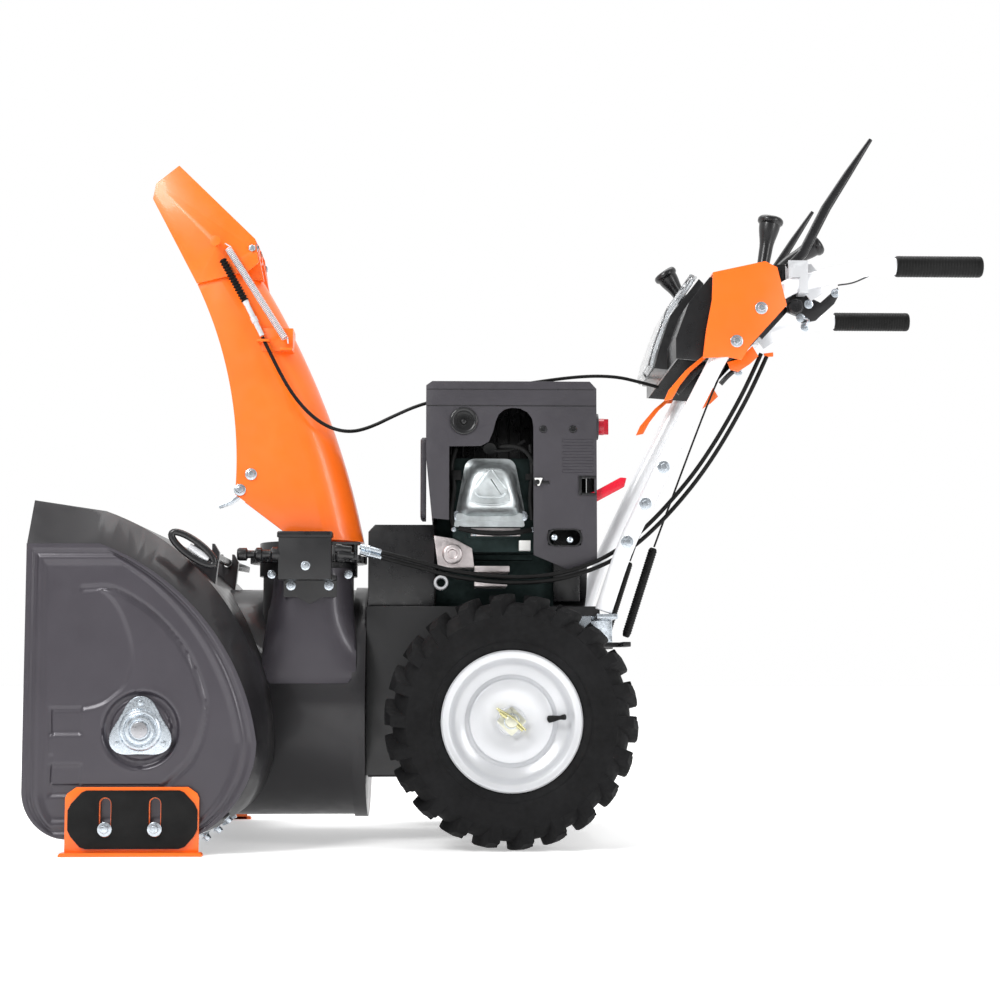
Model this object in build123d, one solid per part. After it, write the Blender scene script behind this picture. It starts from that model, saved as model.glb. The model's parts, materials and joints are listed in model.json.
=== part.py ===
from build123d import *
import math
import os

# Two-stage snow blower. Millimetres. +X points back to the operator, +Y to the machine's
# right, +Z up. The origin is on the ground, under the middle of the bounding box.

# Driving dimensions
WALL = 2.5
AXLE_X, AXLE_Z, AXLE_R = -12.0, 203.0, 12.5
TYRE_R, TYRE_HALF_WIDTH, WHEEL_Y = 203.0, 58.0, 260.0
RIM_R = 109.0
AUGER_X, AUGER_Z, AUGER_R, AUGER_SHAFT_R = -587.0, 192.0, 156.0, 12.5
FRONT_X, BLADE_X, HOUSING_HALF, BAND_HALF = -768.0, -560.0, 355.0, 305.0
DRUM_Z, DRUM_R, DRUM_BACK_X = 230.0, 193.0, -249.0
CHUTE_X, CHUTE_Y, OUTLET_R, OUTLET_TOP = -348.0, -110.0, 76.0, 457.0
CHUTE_HALF, RING_R = 80.0, 98.0
HINGE_X, HINGE_Z = -441.0, 984.0
FRAME_FRONT, FRAME_REAR, FRAME_HALF, DECK_Z, FRAME_BOTTOM = -249.0, 140.0, 155.0, 390.0, 111.0
CRANK_Z = 470.0
HOOD_REAR, HOOD_NEAR, HOOD_FAR, HOOD_TOP = 130.0, -230.0, -40.0, 757.0
HANDLE_Y, HANDLE_R, DASH_HALF = 250.0, 14.0, 230.0
GRIP_FRONT, GRIP_END, GRIP_R = 624.0, 768.0, 17.5
PADDLE_X, PADDLE_Z = 452.0, 946.0
PIN_R, FIT = 4.0, 0.05
TOOL_X, TOOL_Z, TOOL_R = -504.0, 474.0, 8.0
# Control levers: pivot (x, z), y, height of the dash's roof above the pivot; slots as x0, x1, y.
LEVER_PIVOTS = [((362, 900), 125, 940), ((405, 905), 0, 950), ((436, 905), -140, 954)]
LEVER_SLOTS = [(306, 364, 125), (360, 466, 0), (395, 468, -140)]
SIDES = {"left": -1, "right": 1}


def block(x0, x1, y0, y1, z0, z1):
    centre = Pos((x0 + x1) / 2, (y0 + y1) / 2, (z0 + z1) / 2)
    return centre * Box(abs(x1 - x0), abs(y1 - y0), abs(z1 - z0))


def rod_x(x0, x1, y, z, r):
    return Pos((x0 + x1) / 2, y, z) * Rot(0, 90, 0) * Cylinder(r, abs(x1 - x0))


def rod_y(x, z, y0, y1, r):
    return Pos(x, (y0 + y1) / 2, z) * Rot(90, 0, 0) * Cylinder(r, abs(y1 - y0))


def rod_z(x, y, z0, z1, r):
    return Pos(x, y, (z0 + z1) / 2) * Cylinder(r, abs(z1 - z0))


def rod_between(start, end, r):
    """A straight round rod between two points."""
    start, end = Vector(*start), Vector(*end)
    plane = Plane(origin=start, z_dir=end - start)
    return extrude(plane * Circle(r), amount=(end - start).length)


def slab(points, y0, y1):
    """A side-view polygon of (x, z) points, extruded from y0 to y1."""
    corners = [(x, y0, z) for x, z in points]
    face = make_face(Polyline(*corners, close=True))
    return extrude(face, amount=y1 - y0, dir=(0, 1, 0))


def edge_slab(edges, y0, y1):
    """A closed side-view outline of edges at y0, extruded to y1."""
    return extrude(make_face(edges), amount=y1 - y0, dir=(0, 1, 0))


def tube_along(points, radii, r, bore=0.0):
    """A round tube along straight runs joined by arcs."""
    path = FilletPolyline(*points, radius=radii)
    section = Plane(origin=path @ 0, z_dir=path % 0) * Circle(r)
    if bore:
        section -= Plane(origin=path @ 0, z_dir=path % 0) * Circle(bore)
    return sweep(section, path=path)


def arc_radii(points, share=0.45):
    """The largest radius that each corner's two runs allow."""
    radii = []
    for a, b, c in zip(points, points[1:], points[2:]):
        run_in, run_out = Vector(*b) - Vector(*a), Vector(*c) - Vector(*b)
        turn = math.radians(run_in.get_angle(run_out))
        shorter = min(run_in.length, run_out.length)
        radii.append(share * shorter / math.tan(turn / 2))
    return radii


def cord(points, r):
    """A cable's tube; prints its least radius and its volume against section times length."""
    radii = arc_radii(points)
    path = FilletPolyline(*points, radius=radii)
    tube = sweep(Plane(origin=path @ 0, z_dir=path % 0) * Circle(r), path=path)
    ratio = tube.volume / (math.pi * r * r * path.length)
    print("cable: least radius %.0f, length %.0f, volume ratio %.4f" % (min(radii), path.length, ratio))
    return tube


# ---------------------------------------------------------------- auger housing

def housing_outline(y, top_front_z, top_rear_z, bulge, rear, low, inset):
    """Closed side outline of the wrapper at one y: bottom, round back, straight top, front."""
    def inward(point):
        x, z = point
        away = math.hypot(x - AUGER_X, z - AUGER_Z)
        step = inset / away
        return (x + (AUGER_X - x) * step, y, z + (AUGER_Z - z) * step)
    front = FRONT_X if inset == 0 else FRONT_X - 30
    bottom = 24.0 + inset
    a = (-538.0, y, bottom)
    b = inward(rear)
    c = (-655.0, y, top_rear_z - inset)
    d = (front, y, top_front_z - inset)
    e = (front, y, bottom)
    return [ThreePointArc(a, inward(low), b), ThreePointArc(b, inward(bulge), c),
            Line(c, d), Line(d, e), Line(e, a)]


def plate_outline(y, inset=0.0):
    """The wrapper's outline where it meets a side plate."""
    return housing_outline(y, 480, 480, (-500, 373), (-409, 172), (-437, 84), inset)


def crest_outline(y, inset=0.0):
    """The wrapper's full outline, between the two slanted top bands."""
    return housing_outline(y, 552, 535, (-467, 393), (-397, 168), (-426, 80), inset)


def housing_block(inset=0.0):
    """The solid inside the wrapper's outline, with its slanted top bands."""
    body = edge_slab(crest_outline(-BAND_HALF, inset), -BAND_HALF, BAND_HALF)
    for side in SIDES.values():
        outer = make_face(plate_outline(side * HOUSING_HALF, inset))
        inner = make_face(crest_outline(side * BAND_HALF, inset))
        body += loft([outer, inner], ruled=True)
    return body


def make_wrapper():
    shell = housing_block() - housing_block(WALL)
    shell -= block(FRONT_X - 5, BLADE_X, -400, 400, 0, 70)
    shell -= rod_x(-560, -350, 0, DRUM_Z, DRUM_R - 3)
    for y in (-230, 60):
        clip = slab([(-520, 440), (-490, 420), (-484, 474), (-492, 488), (-516, 488), (-524, 474)], y - 8, y + 8)
        clip -= housing_block()
        clip -= rod_y(TOOL_X, TOOL_Z, y - 20, y + 20, TOOL_R + 0.4)
        clip -= block(TOOL_X - TOOL_R - 0.4, TOOL_X + TOOL_R + 0.4, y - 20, y + 20, TOOL_Z, 510)
        shell += clip
    return shell


def make_side_plate(side):
    y0, y1 = side * HOUSING_HALF, side * (HOUSING_HALF + WALL)
    corner = 75.0
    y = min(y0, y1)
    a, b = (-492.0, y, 33.0), (-409.0, y, 172.0)
    c, d = (-655.0, y, 480.0), (FRONT_X, y, 480.0)
    e, f = (FRONT_X, y, 24.0 + corner), (FRONT_X + corner, y, 24.0)
    knee = corner * (1 - math.sqrt(0.5))
    g = (-530.0, y, 24.0)
    edges = [Line(g, a), ThreePointArc(a, (-433, y, 84), b), ThreePointArc(b, (-500, y, 373), c),
             Line(c, d), Line(d, e), ThreePointArc(e, (FRONT_X + knee, y, 24 + knee), f), Line(f, g)]
    plate = edge_slab(edges, y, y + WALL)
    plate -= rod_y(AUGER_X, AUGER_Z, y0 - 5, y1 + 5, 26)
    skid_bolts = [(-638, 41), (-562, 41)]
    for x, z in skid_bolts:
        plate -= rod_y(x, z, y0 - 5, y1 + 5, 4.2)
    return plate


def make_scraper_bar():
    return slab([(-612, 9), (-606, 5), (-530, 17), (-532, 23.7), (-566, 23.7)], -350, 350)


def make_auger_bearings():
    """Three-lobed pressed flanges that carry the auger shaft in the side plates."""
    flanges = []
    for side in SIDES.values():
        face = side * (HOUSING_HALF + WALL)
        flange = rod_y(AUGER_X, AUGER_Z, face, face + side * 3, 36)
        for angle in (90, 213, 327):
            x = AUGER_X + 44 * math.cos(math.radians(angle))
            z = AUGER_Z + 44 * math.sin(math.radians(angle))
            flange += rod_y(x, z, face, face + side * 3, 13)
            flange += rod_y(x, z, face + side * 3, face + side * 9, 7)
        flange += rod_y(AUGER_X, AUGER_Z, face - side * 12, face + side * 12, 22)
        flange -= rod_y(AUGER_X, AUGER_Z, face - side * 20, face + side * 20, AUGER_SHAFT_R + FIT)
        flanges.append(flange)
    return Compound(children=flanges)


def make_skid(side):
    """Slotted shoe: orange steel plate with a turned-out foot."""
    y0 = side * (HOUSING_HALF + WALL + 0.5)
    y1 = y0 + side * 4
    shoe = slab([(-700, 0), (-495, 0), (-495, 88), (-512, 105), (-683, 105), (-700, 88)],
                min(y0, y1), max(y0, y1))
    foot = slab([(-700, 0), (-495, 0), (-488, 6), (-707, 6)], *sorted((y0, y0 + side * 18)))
    shoe += foot
    return shoe - skid_slots(side)


def skid_slots(side):
    near, far = side * HOUSING_HALF, side * (HOUSING_HALF + 40)
    pieces = []
    for x in (-638, -562):
        pieces.append(rod_y(x, 38, near, far, 8) + rod_y(x, 80, near, far, 8)
                      + block(x - 8, x + 8, near, far, 38, 80))
    return pieces


def make_skid_pad(side):
    y0 = side * (HOUSING_HALF + WALL + 4.5)
    y1 = y0 + side * 5
    pad = slab([(-690, 10), (-505, 10), (-496, 24), (-496, 88), (-510, 101), (-681, 101),
                (-696, 88), (-696, 24)], min(y0, y1), max(y0, y1))
    return pad - skid_slots(side)


def make_skid_bolts():
    bolts = []
    for side in SIDES.values():
        inner = side * (HOUSING_HALF - 8)
        washer = side * (HOUSING_HALF + WALL + 10)
        for x in (-638, -562):
            bolt = rod_y(x, 41, inner, washer, 4.1)
            bolt += rod_y(x, 41, inner, inner + side * 7.5, 9)
            bolt += rod_y(x, 41, washer, washer + side * 2, 11.5)
            bolt += rod_y(x, 41, washer + side * 2, washer + side * 8, 8)
            bolts.append(bolt)
    return Compound(children=bolts)


# ---------------------------------------------------------------- augers and impeller

def make_auger_flight(side):
    """One auger half: hub tube, two ribbon flights and their spokes."""
    start, length, ribbon = 75.0, 255.0, 38.0
    mean_r = AUGER_R - ribbon / 2
    helix = Helix(pitch=length * 1.15, height=length, radius=mean_r, lefthand=side > 0)
    section = Plane(origin=helix @ 0, x_dir=(1, 0, 0), z_dir=helix % 0) * Rectangle(ribbon, 4)
    band = sweep(section, path=helix, is_frenet=True)
    half = Cylinder(17, length, align=(Align.CENTER, Align.CENTER, Align.MIN))
    turn = 360 / 1.15
    for phase in (0, 180):
        half += Rot(0, 0, phase) * band
        for share in (0.04, 0.5, 0.96):
            sense = -1 if side > 0 else 1
            spoke = Pos(mean_r / 2 + 5, 0, 0) * Box(mean_r, 5, 24)
            half += Pos(0, 0, share * length) * Rot(0, 0, phase + sense * turn * share) * spoke
    half -= Cylinder(AUGER_SHAFT_R + FIT, 3 * length)
    half = Rot(-90 * side, 0, 0) * half
    return Pos(AUGER_X, side * start, AUGER_Z) * half


def make_auger_shaft():
    """Auger shaft with the worm wheel in its middle."""
    return rod_y(AUGER_X, AUGER_Z, -372, 372, AUGER_SHAFT_R) + rod_y(AUGER_X, AUGER_Z, -11, 11, 24)


def make_gearbox():
    """Worm gearbox between the auger halves, with the nose that carries the impeller shaft."""
    case = rod_y(AUGER_X, AUGER_Z, -34, 34, 46)
    case += rod_y(AUGER_X, AUGER_Z, -66, 66, 24)
    case += rod_x(-640, -500, 0, DRUM_Z, 25)
    case -= rod_y(AUGER_X, AUGER_Z, -26, 26, 36)
    case -= rod_x(-632, -512, 0, DRUM_Z, 17)
    case -= rod_y(AUGER_X, AUGER_Z, -80, 80, AUGER_SHAFT_R + FIT)
    case -= rod_x(-560, -490, 0, DRUM_Z, 10 + FIT)
    return case


def make_impeller_shaft():
    """Impeller shaft with its worm at the front end."""
    shaft = rod_x(-612, -196, 0, DRUM_Z, 10)
    shaft += rod_x(-606, -564, 0, DRUM_Z, 12.5)
    return shaft


def make_impeller():
    """Four-bladed impeller that throws the snow up the outlet."""
    hub = rod_x(-400, -296, 0, DRUM_Z, 24)
    for step in range(4):
        blade = block(-392, -304, -3, 3, 0, 180)
        tip = block(-392, -304, -3, 18, 174, 180)
        hub += Pos(0, 0, DRUM_Z) * Rot(45 + 90 * step, 0, 0) * (blade + tip)
    return hub - rod_x(-420, -280, 0, DRUM_Z, 10 + FIT)


def make_pulley(x0, x1, z, r, bore):
    pulley = rod_x(x0, x1, 0, z, r)
    middle = (x0 + x1) / 2
    ring = rod_x(middle - 6, middle + 6, 0, z, r + 1) - rod_x(middle - 6, middle + 6, 0, z, r - 9)
    return pulley - ring - rod_x(x0 - 5, x1 + 5, 0, z, bore + FIT)


def make_drive_belt():
    """V-belt from the crank pulley down to the impeller pulley."""
    x0, x1 = -224.5, -213.5
    top_r, low_r, thick = 27.5, 77.5, 7.0
    outer = make_hull_slab(x0, x1, top_r + thick, low_r + thick)
    return outer - make_hull_slab(x0 - 1, x1 + 1, top_r, low_r)


def make_hull_slab(x0, x1, top_r, low_r):
    """Solid between two circles and their common tangents, along X."""
    reach = CRANK_Z - DRUM_Z
    lean = math.asin((low_r - top_r) / reach)
    top, low = (0.0, CRANK_Z), (0.0, DRUM_Z)
    points = []
    for centre, r in ((low, low_r), (top, top_r)):
        points.append((x0, r * math.cos(lean), centre[1] + r * math.sin(lean)))
    mirrored = [(x, -y, z) for x, y, z in points]
    belt = make_face(Polyline(points[0], points[1], mirrored[1], mirrored[0], close=True))
    body = extrude(belt, amount=x1 - x0, dir=(1, 0, 0))
    return body + rod_x(x0, x1, 0, CRANK_Z, top_r) + rod_x(x0, x1, 0, DRUM_Z, low_r)


# ---------------------------------------------------------------- impeller housing and chute

def make_impeller_drum():
    drum = rod_x(-520, DRUM_BACK_X - WALL, 0, DRUM_Z, DRUM_R)
    drum += rod_x(-271, DRUM_BACK_X - WALL, 0, DRUM_Z, DRUM_R + 4)
    drum -= rod_x(-530, -240, 0, DRUM_Z, DRUM_R - 3)
    drum -= housing_block()
    drum -= rod_z(CHUTE_X, CHUTE_Y, DRUM_Z, 500, OUTLET_R - 3)
    drum += rod_x(DRUM_BACK_X - WALL, DRUM_BACK_X, 0, DRUM_Z, DRUM_R + 4)
    drum += rod_x(DRUM_BACK_X, DRUM_BACK_X + 11, 0, DRUM_Z, 30)
    return drum - rod_x(-260, -230, 0, DRUM_Z, 10 + FIT)


def make_discharge_outlet():
    """Round collar that rises at a tangent from the impeller drum."""
    collar = rod_z(CHUTE_X, CHUTE_Y, 256, OUTLET_TOP, OUTLET_R)
    collar -= rod_z(CHUTE_X, CHUTE_Y, 200, 500, OUTLET_R - 3)
    return collar - rod_x(-530, -240, 0, DRUM_Z, DRUM_R)


def make_chute_ring():
    """Toothed turning ring that carries the chute on the outlet collar."""
    ring = rod_z(CHUTE_X, CHUTE_Y, 462, 474, RING_R)
    ring += rod_z(CHUTE_X, CHUTE_Y, 440, 496, 82)
    ring -= rod_z(CHUTE_X, CHUTE_Y, 430, 500, OUTLET_R + 0.5)
    ring += rod_z(CHUTE_X, CHUTE_Y, 458, 462, 82) - rod_z(CHUTE_X, CHUTE_Y, 450, 470, OUTLET_R - 3)
    for step in range(36):
        angle = math.radians(10 * step)
        x, y = CHUTE_X + RING_R * math.cos(angle), CHUTE_Y + RING_R * math.sin(angle)
        ring -= rod_z(x, y, 460, 476, 4)
    return ring


def chute_block(inset, y_inset):
    """Solid inside the chute's outline; the back edges are rounded."""
    y = CHUTE_Y - CHUTE_HALF + y_inset
    front, overrun = (-60.0, 10.0) if inset else (0.0, 0.0)
    a = (-255.0 + 0.2 * overrun - inset, y, 497.0 - overrun)
    b = (-448.0 - 0.62 * overrun - inset, y, 972.0 + overrun)
    c, d = (-532.0 + front, y, 924.0 + overrun), (-465.0 + front, y, 573.0)
    e = (-368.0 + front, y, 500.0 - overrun)
    edges = [ThreePointArc(a, (-311 - inset, y, 698), b), Line(b, c),
             ThreePointArc(c, (-474 + front, y, 745), d), Line(d, e), Line(e, a)]
    body = edge_slab(edges, y, CHUTE_Y + CHUTE_HALF - y_inset)
    back = [edge for edge in body.edges() if edge.length > 400 and edge.center().X > -400 - inset]
    return fillet(back, 60 - inset)


def make_chute():
    """U-shaped sheet chute, open to the front, with its hinge pin and cable anchors."""
    sheet = chute_block(0, 0) - chute_block(WALL, WALL)
    for offset in (-50, 50):
        y = CHUTE_Y + offset
        sheet += rod_y(HINGE_X, HINGE_Z, y - 10, y + 10, 7.5)
        sheet += slab([(-456, 936), (-424, 936), (HINGE_X + 7, HINGE_Z), (HINGE_X - 7, HINGE_Z - 3)],
                      y - 10, y + 10) - chute_block(WALL, WALL)
    sheet += rod_y(HINGE_X, HINGE_Z, CHUTE_Y - 78, CHUTE_Y + 78, PIN_R)
    wall = CHUTE_Y - CHUTE_HALF
    sheet += block(-424, -372, wall - 2, wall + 50, 812, 850) - chute_block(WALL, WALL)
    sheet += block(-392, -372, wall - 18, wall, 811, 815)
    sheet += block(-430, -410, wall - 20, wall, 825, 829)
    return sheet - rod_between((-430, -204, 850), (-411, -204, 811), 3.8)


def make_deflector():
    """Tilting cap: two side plates outside the chute and a bent back plate."""
    outer = CHUTE_HALF + 5.5
    y0, y1 = CHUTE_Y - outer, CHUTE_Y + outer
    side_shape = [(-436, 1000), (-430, 960), (-446, 946), (-532, 924), (-607, 1067), (-602, 1093), (-564, 1124)]
    cap = slab(side_shape, y0, y0 + WALL) + slab(side_shape, y1 - WALL, y1)
    cap += slab([(-436, 1000), (-564, 1124), (-602, 1093), (-600, 1091), (-564, 1120.5), (-440, 1000)], y0, y1)
    for offset in (-22, 22):
        y = CHUTE_Y + offset
        cap += rod_y(HINGE_X, HINGE_Z, y - 10, y + 10, 7.5)
        cap += slab([(HINGE_X - 6, HINGE_Z), (HINGE_X + 7, HINGE_Z), (-436, 1002), (-442, 1002)], y - 10, y + 10)
    cap += rod_y(-500, 992, y0 - 19, y0 + 1, 5) + rod_y(-500, 992, y0 - 22, y0 - 19, 9)
    return cap - rod_y(HINGE_X, HINGE_Z, -300, 100, PIN_R + FIT)


def make_return_spring():
    return rod_between((-485, -205, 990), (-379, -205, 822), 5.5)


def make_cable_boot():
    """Ribbed bellows over the deflector cable's moving end, with its barrel."""
    boot = rod_between((-489, -204, 963), (-450, -204, 892), 6.5)
    return boot + rod_between((-450, -204, 892), (-422, -204, 835), 4.5)


def make_cable_sheaves():
    """Two small sheaves on a strap that lead the cables into the turning bracket."""
    strap = block(-303, -256, -242, -230, 487, 491)
    for x in (-288, -264):
        strap += rod_z(x, -236, 462, 470, 9) + rod_z(x, -236, 466, 488, 3)
    return strap


def make_turning_bracket():
    """Fixed bracket and pulley block that turns the chute by its two cables."""
    y_face = CHUTE_Y - OUTLET_R
    plate = slab([(-383, 403), (-361, 403), (-340, 392), (-318, 403), (-296, 403), (-296, 438), (-383, 438)],
                 -196, y_face - 5)
    plate += block(-376, -320, y_face - 5, y_face + 6, 410, 432)
    plate -= rod_z(CHUTE_X, CHUTE_Y, 380, 520, OUTLET_R)
    arm = block(-383, -296, -226, -190, 430, 438) + block(-388, -303, -246, -220, 430, 504)
    return Compound(children=[plate + arm, make_cable_sheaves()])


# ---------------------------------------------------------------- drive unit and wheels

def make_clutch_arm(side):
    """Clutch arm end that leaves the drive unit and takes the spring's hook."""
    arm = block(FRAME_REAR, 186, side * 120, side * 150, 322, 330)
    return arm + block(172, 186, side * 120, side * 214, 322, 330)


def make_tractor_frame():
    frame = block(FRAME_FRONT, FRAME_REAR, -FRAME_HALF, FRAME_HALF, FRAME_BOTTOM, DECK_Z)
    frame -= block(FRAME_FRONT - 5, FRAME_REAR - 3, -FRAME_HALF + 3, FRAME_HALF - 3,
                   FRAME_BOTTOM - 5, DECK_Z - 3)
    frame -= block(-242, -180, -90, 90, DECK_Z - 10, DECK_Z + 10)
    frame -= rod_y(AXLE_X, AXLE_Z, -200, 200, 20)
    return frame + make_clutch_arm(-1) + make_clutch_arm(1)


def make_bottom_cover():
    return block(FRAME_FRONT + 4, FRAME_REAR - 4, -FRAME_HALF + 4, FRAME_HALF - 4,
                 FRAME_BOTTOM - 3, FRAME_BOTTOM)


def make_axle_bushes():
    bushes = []
    for side in SIDES.values():
        inner, outer = side * (FRAME_HALF - 12), side * (FRAME_HALF + 6)
        bush = rod_y(AXLE_X, AXLE_Z, inner, outer, 20)
        bush += rod_y(AXLE_X, AXLE_Z, side * FRAME_HALF, side * (FRAME_HALF + 3), 30)
        bushes.append(bush - rod_y(AXLE_X, AXLE_Z, inner - 20, outer + 20, AXLE_R + FIT)
                      - rod_y(AXLE_X, AXLE_Z, -400, 400, AXLE_R + FIT))
    return Compound(children=bushes)


def make_axle():
    return rod_y(AXLE_X, AXLE_Z, -296, 296, AXLE_R)


def make_drive_gear():
    """Final drive gear on the axle."""
    gear = rod_y(AXLE_X, AXLE_Z, 60, 72, 70)
    for step in range(40):
        angle = math.radians(9 * step)
        x, z = AXLE_X + 70 * math.cos(angle), AXLE_Z + 70 * math.sin(angle)
        gear -= rod_y(x, z, 55, 77, 2.4)
    return gear - rod_y(AXLE_X, AXLE_Z, 50, 80, AXLE_R + FIT)


def around_axle(points, side):
    """Revolve (offset from the wheel's middle plane, radius) points about the axle."""
    corners = [(AXLE_X, side * (WHEEL_Y + across), AXLE_Z + r) for across, r in points]
    face = make_face(Polyline(*corners, close=True))
    return revolve(face, axis=Axis((AXLE_X, 0, AXLE_Z), (0, 1, 0)))


def make_tyre(side):
    """Low-pressure tyre: an open carcass with its beads on the rim."""
    w = TYRE_HALF_WIDTH
    profile = [(-50, RIM_R), (-52, 122), (-w, 140), (-w, 172), (-50, 192), (-38, TYRE_R),
               (38, TYRE_R), (50, 192), (w, 172), (w, 140), (52, 122), (50, RIM_R),
               (38, RIM_R), (42, 125), (47, 142), (47, 168), (36, 188), (-36, 188), (-47, 168),
               (-47, 142), (-42, 125), (-38, RIM_R)]
    return around_axle(profile, side)


def make_rim(side):
    barrel = [(-55, 106), (-55, 117), (-52.5, 117), (-52.5, RIM_R), (52.5, RIM_R), (52.5, 117),
              (55, 117), (55, 106)]
    disc = [(12, AXLE_R + FIT), (12, 66), (28, 92), (28, 107), (31, 107), (31, 90), (15, 64),
            (15, 24), (34, 24), (34, AXLE_R + FIT)]
    return around_axle(barrel, side) + around_axle(disc, side)


def make_belt_cover():
    shape = [(-247, DECK_Z), (-247, 515), (-236, 527), (-136, 527), (-136, DECK_Z)]
    cover = slab(shape, -140, 140)
    cover -= slab([(-244, DECK_Z - 5), (-244, 514), (-235, 524), (-139, 524), (-139, DECK_Z - 5)], -137, 137)
    return cover - rod_x(-150, -120, 0, CRANK_Z, 15)


# ---------------------------------------------------------------- engine

def make_engine_block():
    """Crankcase and slanted cylinder with its cooling fins."""
    case = block(-134, 66, -84, 106, DECK_Z, 568)
    case += block(-106, 30, -100, -84, 470, 630)
    case += block(-80, 4, -192, -100, 500, 616)
    for step in range(9):
        y = -188 + 10 * step
        case += block(-106, 30, y, y + 4, 478, 634)
    case -= rod_x(-140, 80, 0, CRANK_Z, 12 + FIT)
    return case


def make_crankshaft():
    return rod_x(-236, 118, 0, CRANK_Z, 12)


def make_valve_cover():
    """Ribbed light-alloy rocker cover on the cylinder head."""
    flange = block(-103, 19, -200, -192, 520, 634)
    dome = loft([Plane.XZ.offset(200) * Pos(-43, 578) * RectangleRounded(110, 100, 14),
                 Plane.XZ.offset(236) * Pos(-43, 578) * RectangleRounded(86, 76, 18)])
    return flange + dome


def make_engine_hood():
    """Thin plastic cover with an arched opening for the rocker cover."""
    shape = [(-150, 634), (-140, 531), (-109, 528), (85, 446), (130, 462), (130, 745), (119, HOOD_TOP),
             (-140, HOOD_TOP), (-150, 750)]
    hood = slab(shape, HOOD_NEAR, HOOD_FAR)
    inner = [(-147, 634), (-137, 534), (-137, 400), (127, 400), (127, 744), (118, 754),
             (-139, 754), (-147, 749)]
    hood -= slab(inner, HOOD_NEAR + 3, HOOD_FAR + 5)
    arch = [(-112, 400), (-112, 649), (-60, 650), (-47, 657), (-40, 674), (-36, 690), (-31, 702),
            (-22, 710), (-10, 713), (4, 712), (16, 706), (24, 695), (26, 682), (26, 400)]
    hood -= slab(arch, HOOD_NEAR - 5, HOOD_NEAR + 5)
    hood -= block(50, 104, HOOD_NEAR - 5, HOOD_NEAR + 5, 487, 512)
    hood -= block(125, 135, -225, -207, 545, 608)
    hood -= block(104, 126, HOOD_NEAR - 5, HOOD_NEAR + 5, 571, 599)
    hood += rod_x(HOOD_REAR - 1, 138.5, -150, 692, 22)
    return hood - rod_y(-88, 691, HOOD_NEAR - 5, HOOD_NEAR + 5, 19)


def make_fuel_tank():
    tank = block(-132, 112, -38, 190, 572, 735)
    tank = fillet(tank.edges().filter_by(Axis.Z), 24)
    tank = fillet(tank.faces().sort_by(Axis.Z)[-1].edges(), 14)
    tank -= block(-127, 107, -33, 185, 577, 729)
    return tank - rod_z(50, 120, 700, 740, 18)


def make_fuel_cap():
    cap = rod_z(50, 120, 736, 754, 30)
    for step in range(12):
        angle = math.radians(30 * step)
        cap -= rod_z(50 + 31 * math.cos(angle), 120 + 31 * math.sin(angle), 730, 760, 4)
    return cap


def make_muffler():
    body = block(-110, 56, 110, 206, 430, 562)
    body = fillet(body.edges().filter_by(Axis.X), 20)
    body += rod_x(-138, -105, 160, 500, 13)
    body -= block(-106, 52, 114, 202, 452, 540)
    return body - rod_x(-145, -100, 160, 500, 11)


def make_recoil_housing():
    case = rod_x(68, 125, 0, CRANK_Z, 76)
    case -= rod_x(60, 121, 0, CRANK_Z, 72)
    return case - block(118, 130, 22, 50, 498, 530)


def make_recoil_handle():
    return block(127, 139, 14, 58, 505, 523) + block(121.5, 127, 28, 44, 508, 520)


def make_engine_knob():
    """Red turning knob on the hood's back face."""
    knob = rod_x(139, 148, -150, 692, 14)
    return knob + block(148, 156, -154, -146, 679, 705)


def make_throttle_lever():
    lever = slab([(112, 560), (118, 553), (131, 560), (176, 584), (180, 599), (170, 600), (128, 577),
                  (114, 572)], -220, -212)
    return lever


def make_spark_lead():
    lead = cord([(-28, -205, 652), (0, -210, 654), (24, -210, 636), (34, -206, 608)], 4)
    return lead + rod_y(-28, 650, -208, -190, 8)


# ---------------------------------------------------------------- handlebars and controls

def handle_route(side):
    y = side * HANDLE_Y
    return [(138, y, 379), (170, y, 475), (244, y, 630), (345, y, 824), (440, y, 914),
            (530, y, 934), (586, y, 948), (764, y, 948)]


def make_handlebar(side):
    route = handle_route(side)
    return tube_along(route, arc_radii(route, 0.4), HANDLE_R, HANDLE_R - 2)


def make_handle_bracket(side):
    """Outrigger that carries a handlebar's foot on the drive unit's side."""
    y0, y1 = side * FRAME_HALF, side * (HANDLE_Y + 16)
    plate = block(126, 160, y0, y1, 366, 374)
    y_in = side * FRAME_HALF
    return plate + block(100, 160, y_in, y_in + side * 5, 330, 374)


def make_grip(side):
    y = side * HANDLE_Y
    grip = rod_x(GRIP_FRONT, GRIP_END, y, 948, GRIP_R)
    return grip - rod_x(GRIP_FRONT - 5, GRIP_END - 4, y, 948, HANDLE_R + FIT)


def make_lever_bracket(side):
    """Clamp on the handlebar with the two cheeks that carry a clutch paddle."""
    y = side * HANDLE_Y
    cheeks = block(444, 476, y - 16, y - 12, 926, 954) + block(444, 476, y + 12, y + 16, 926, 954)
    cheeks += block(462, 476, y - 16, y + 16, 900, 932)
    cheeks += rod_y(PADDLE_X, PADDLE_Z, y - 18, y + 18, PIN_R)
    route = handle_route(side)
    return cheeks - tube_along(route, arc_radii(route, 0.4), HANDLE_R + FIT)


def make_paddle(side):
    """Long clutch paddle above a grip."""
    y = side * HANDLE_Y
    blade = slab([(445, 952), (458, 941), (519, 1040), (588, 1158), (584, 1164), (577, 1160), (500, 1052)],
                 y - 9, y + 9)
    blade += rod_y(PADDLE_X, PADDLE_Z, y - 9, y + 9, 8)
    return blade - rod_y(PADDLE_X, PADDLE_Z, y - 12, y + 12, PIN_R + FIT)


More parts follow.
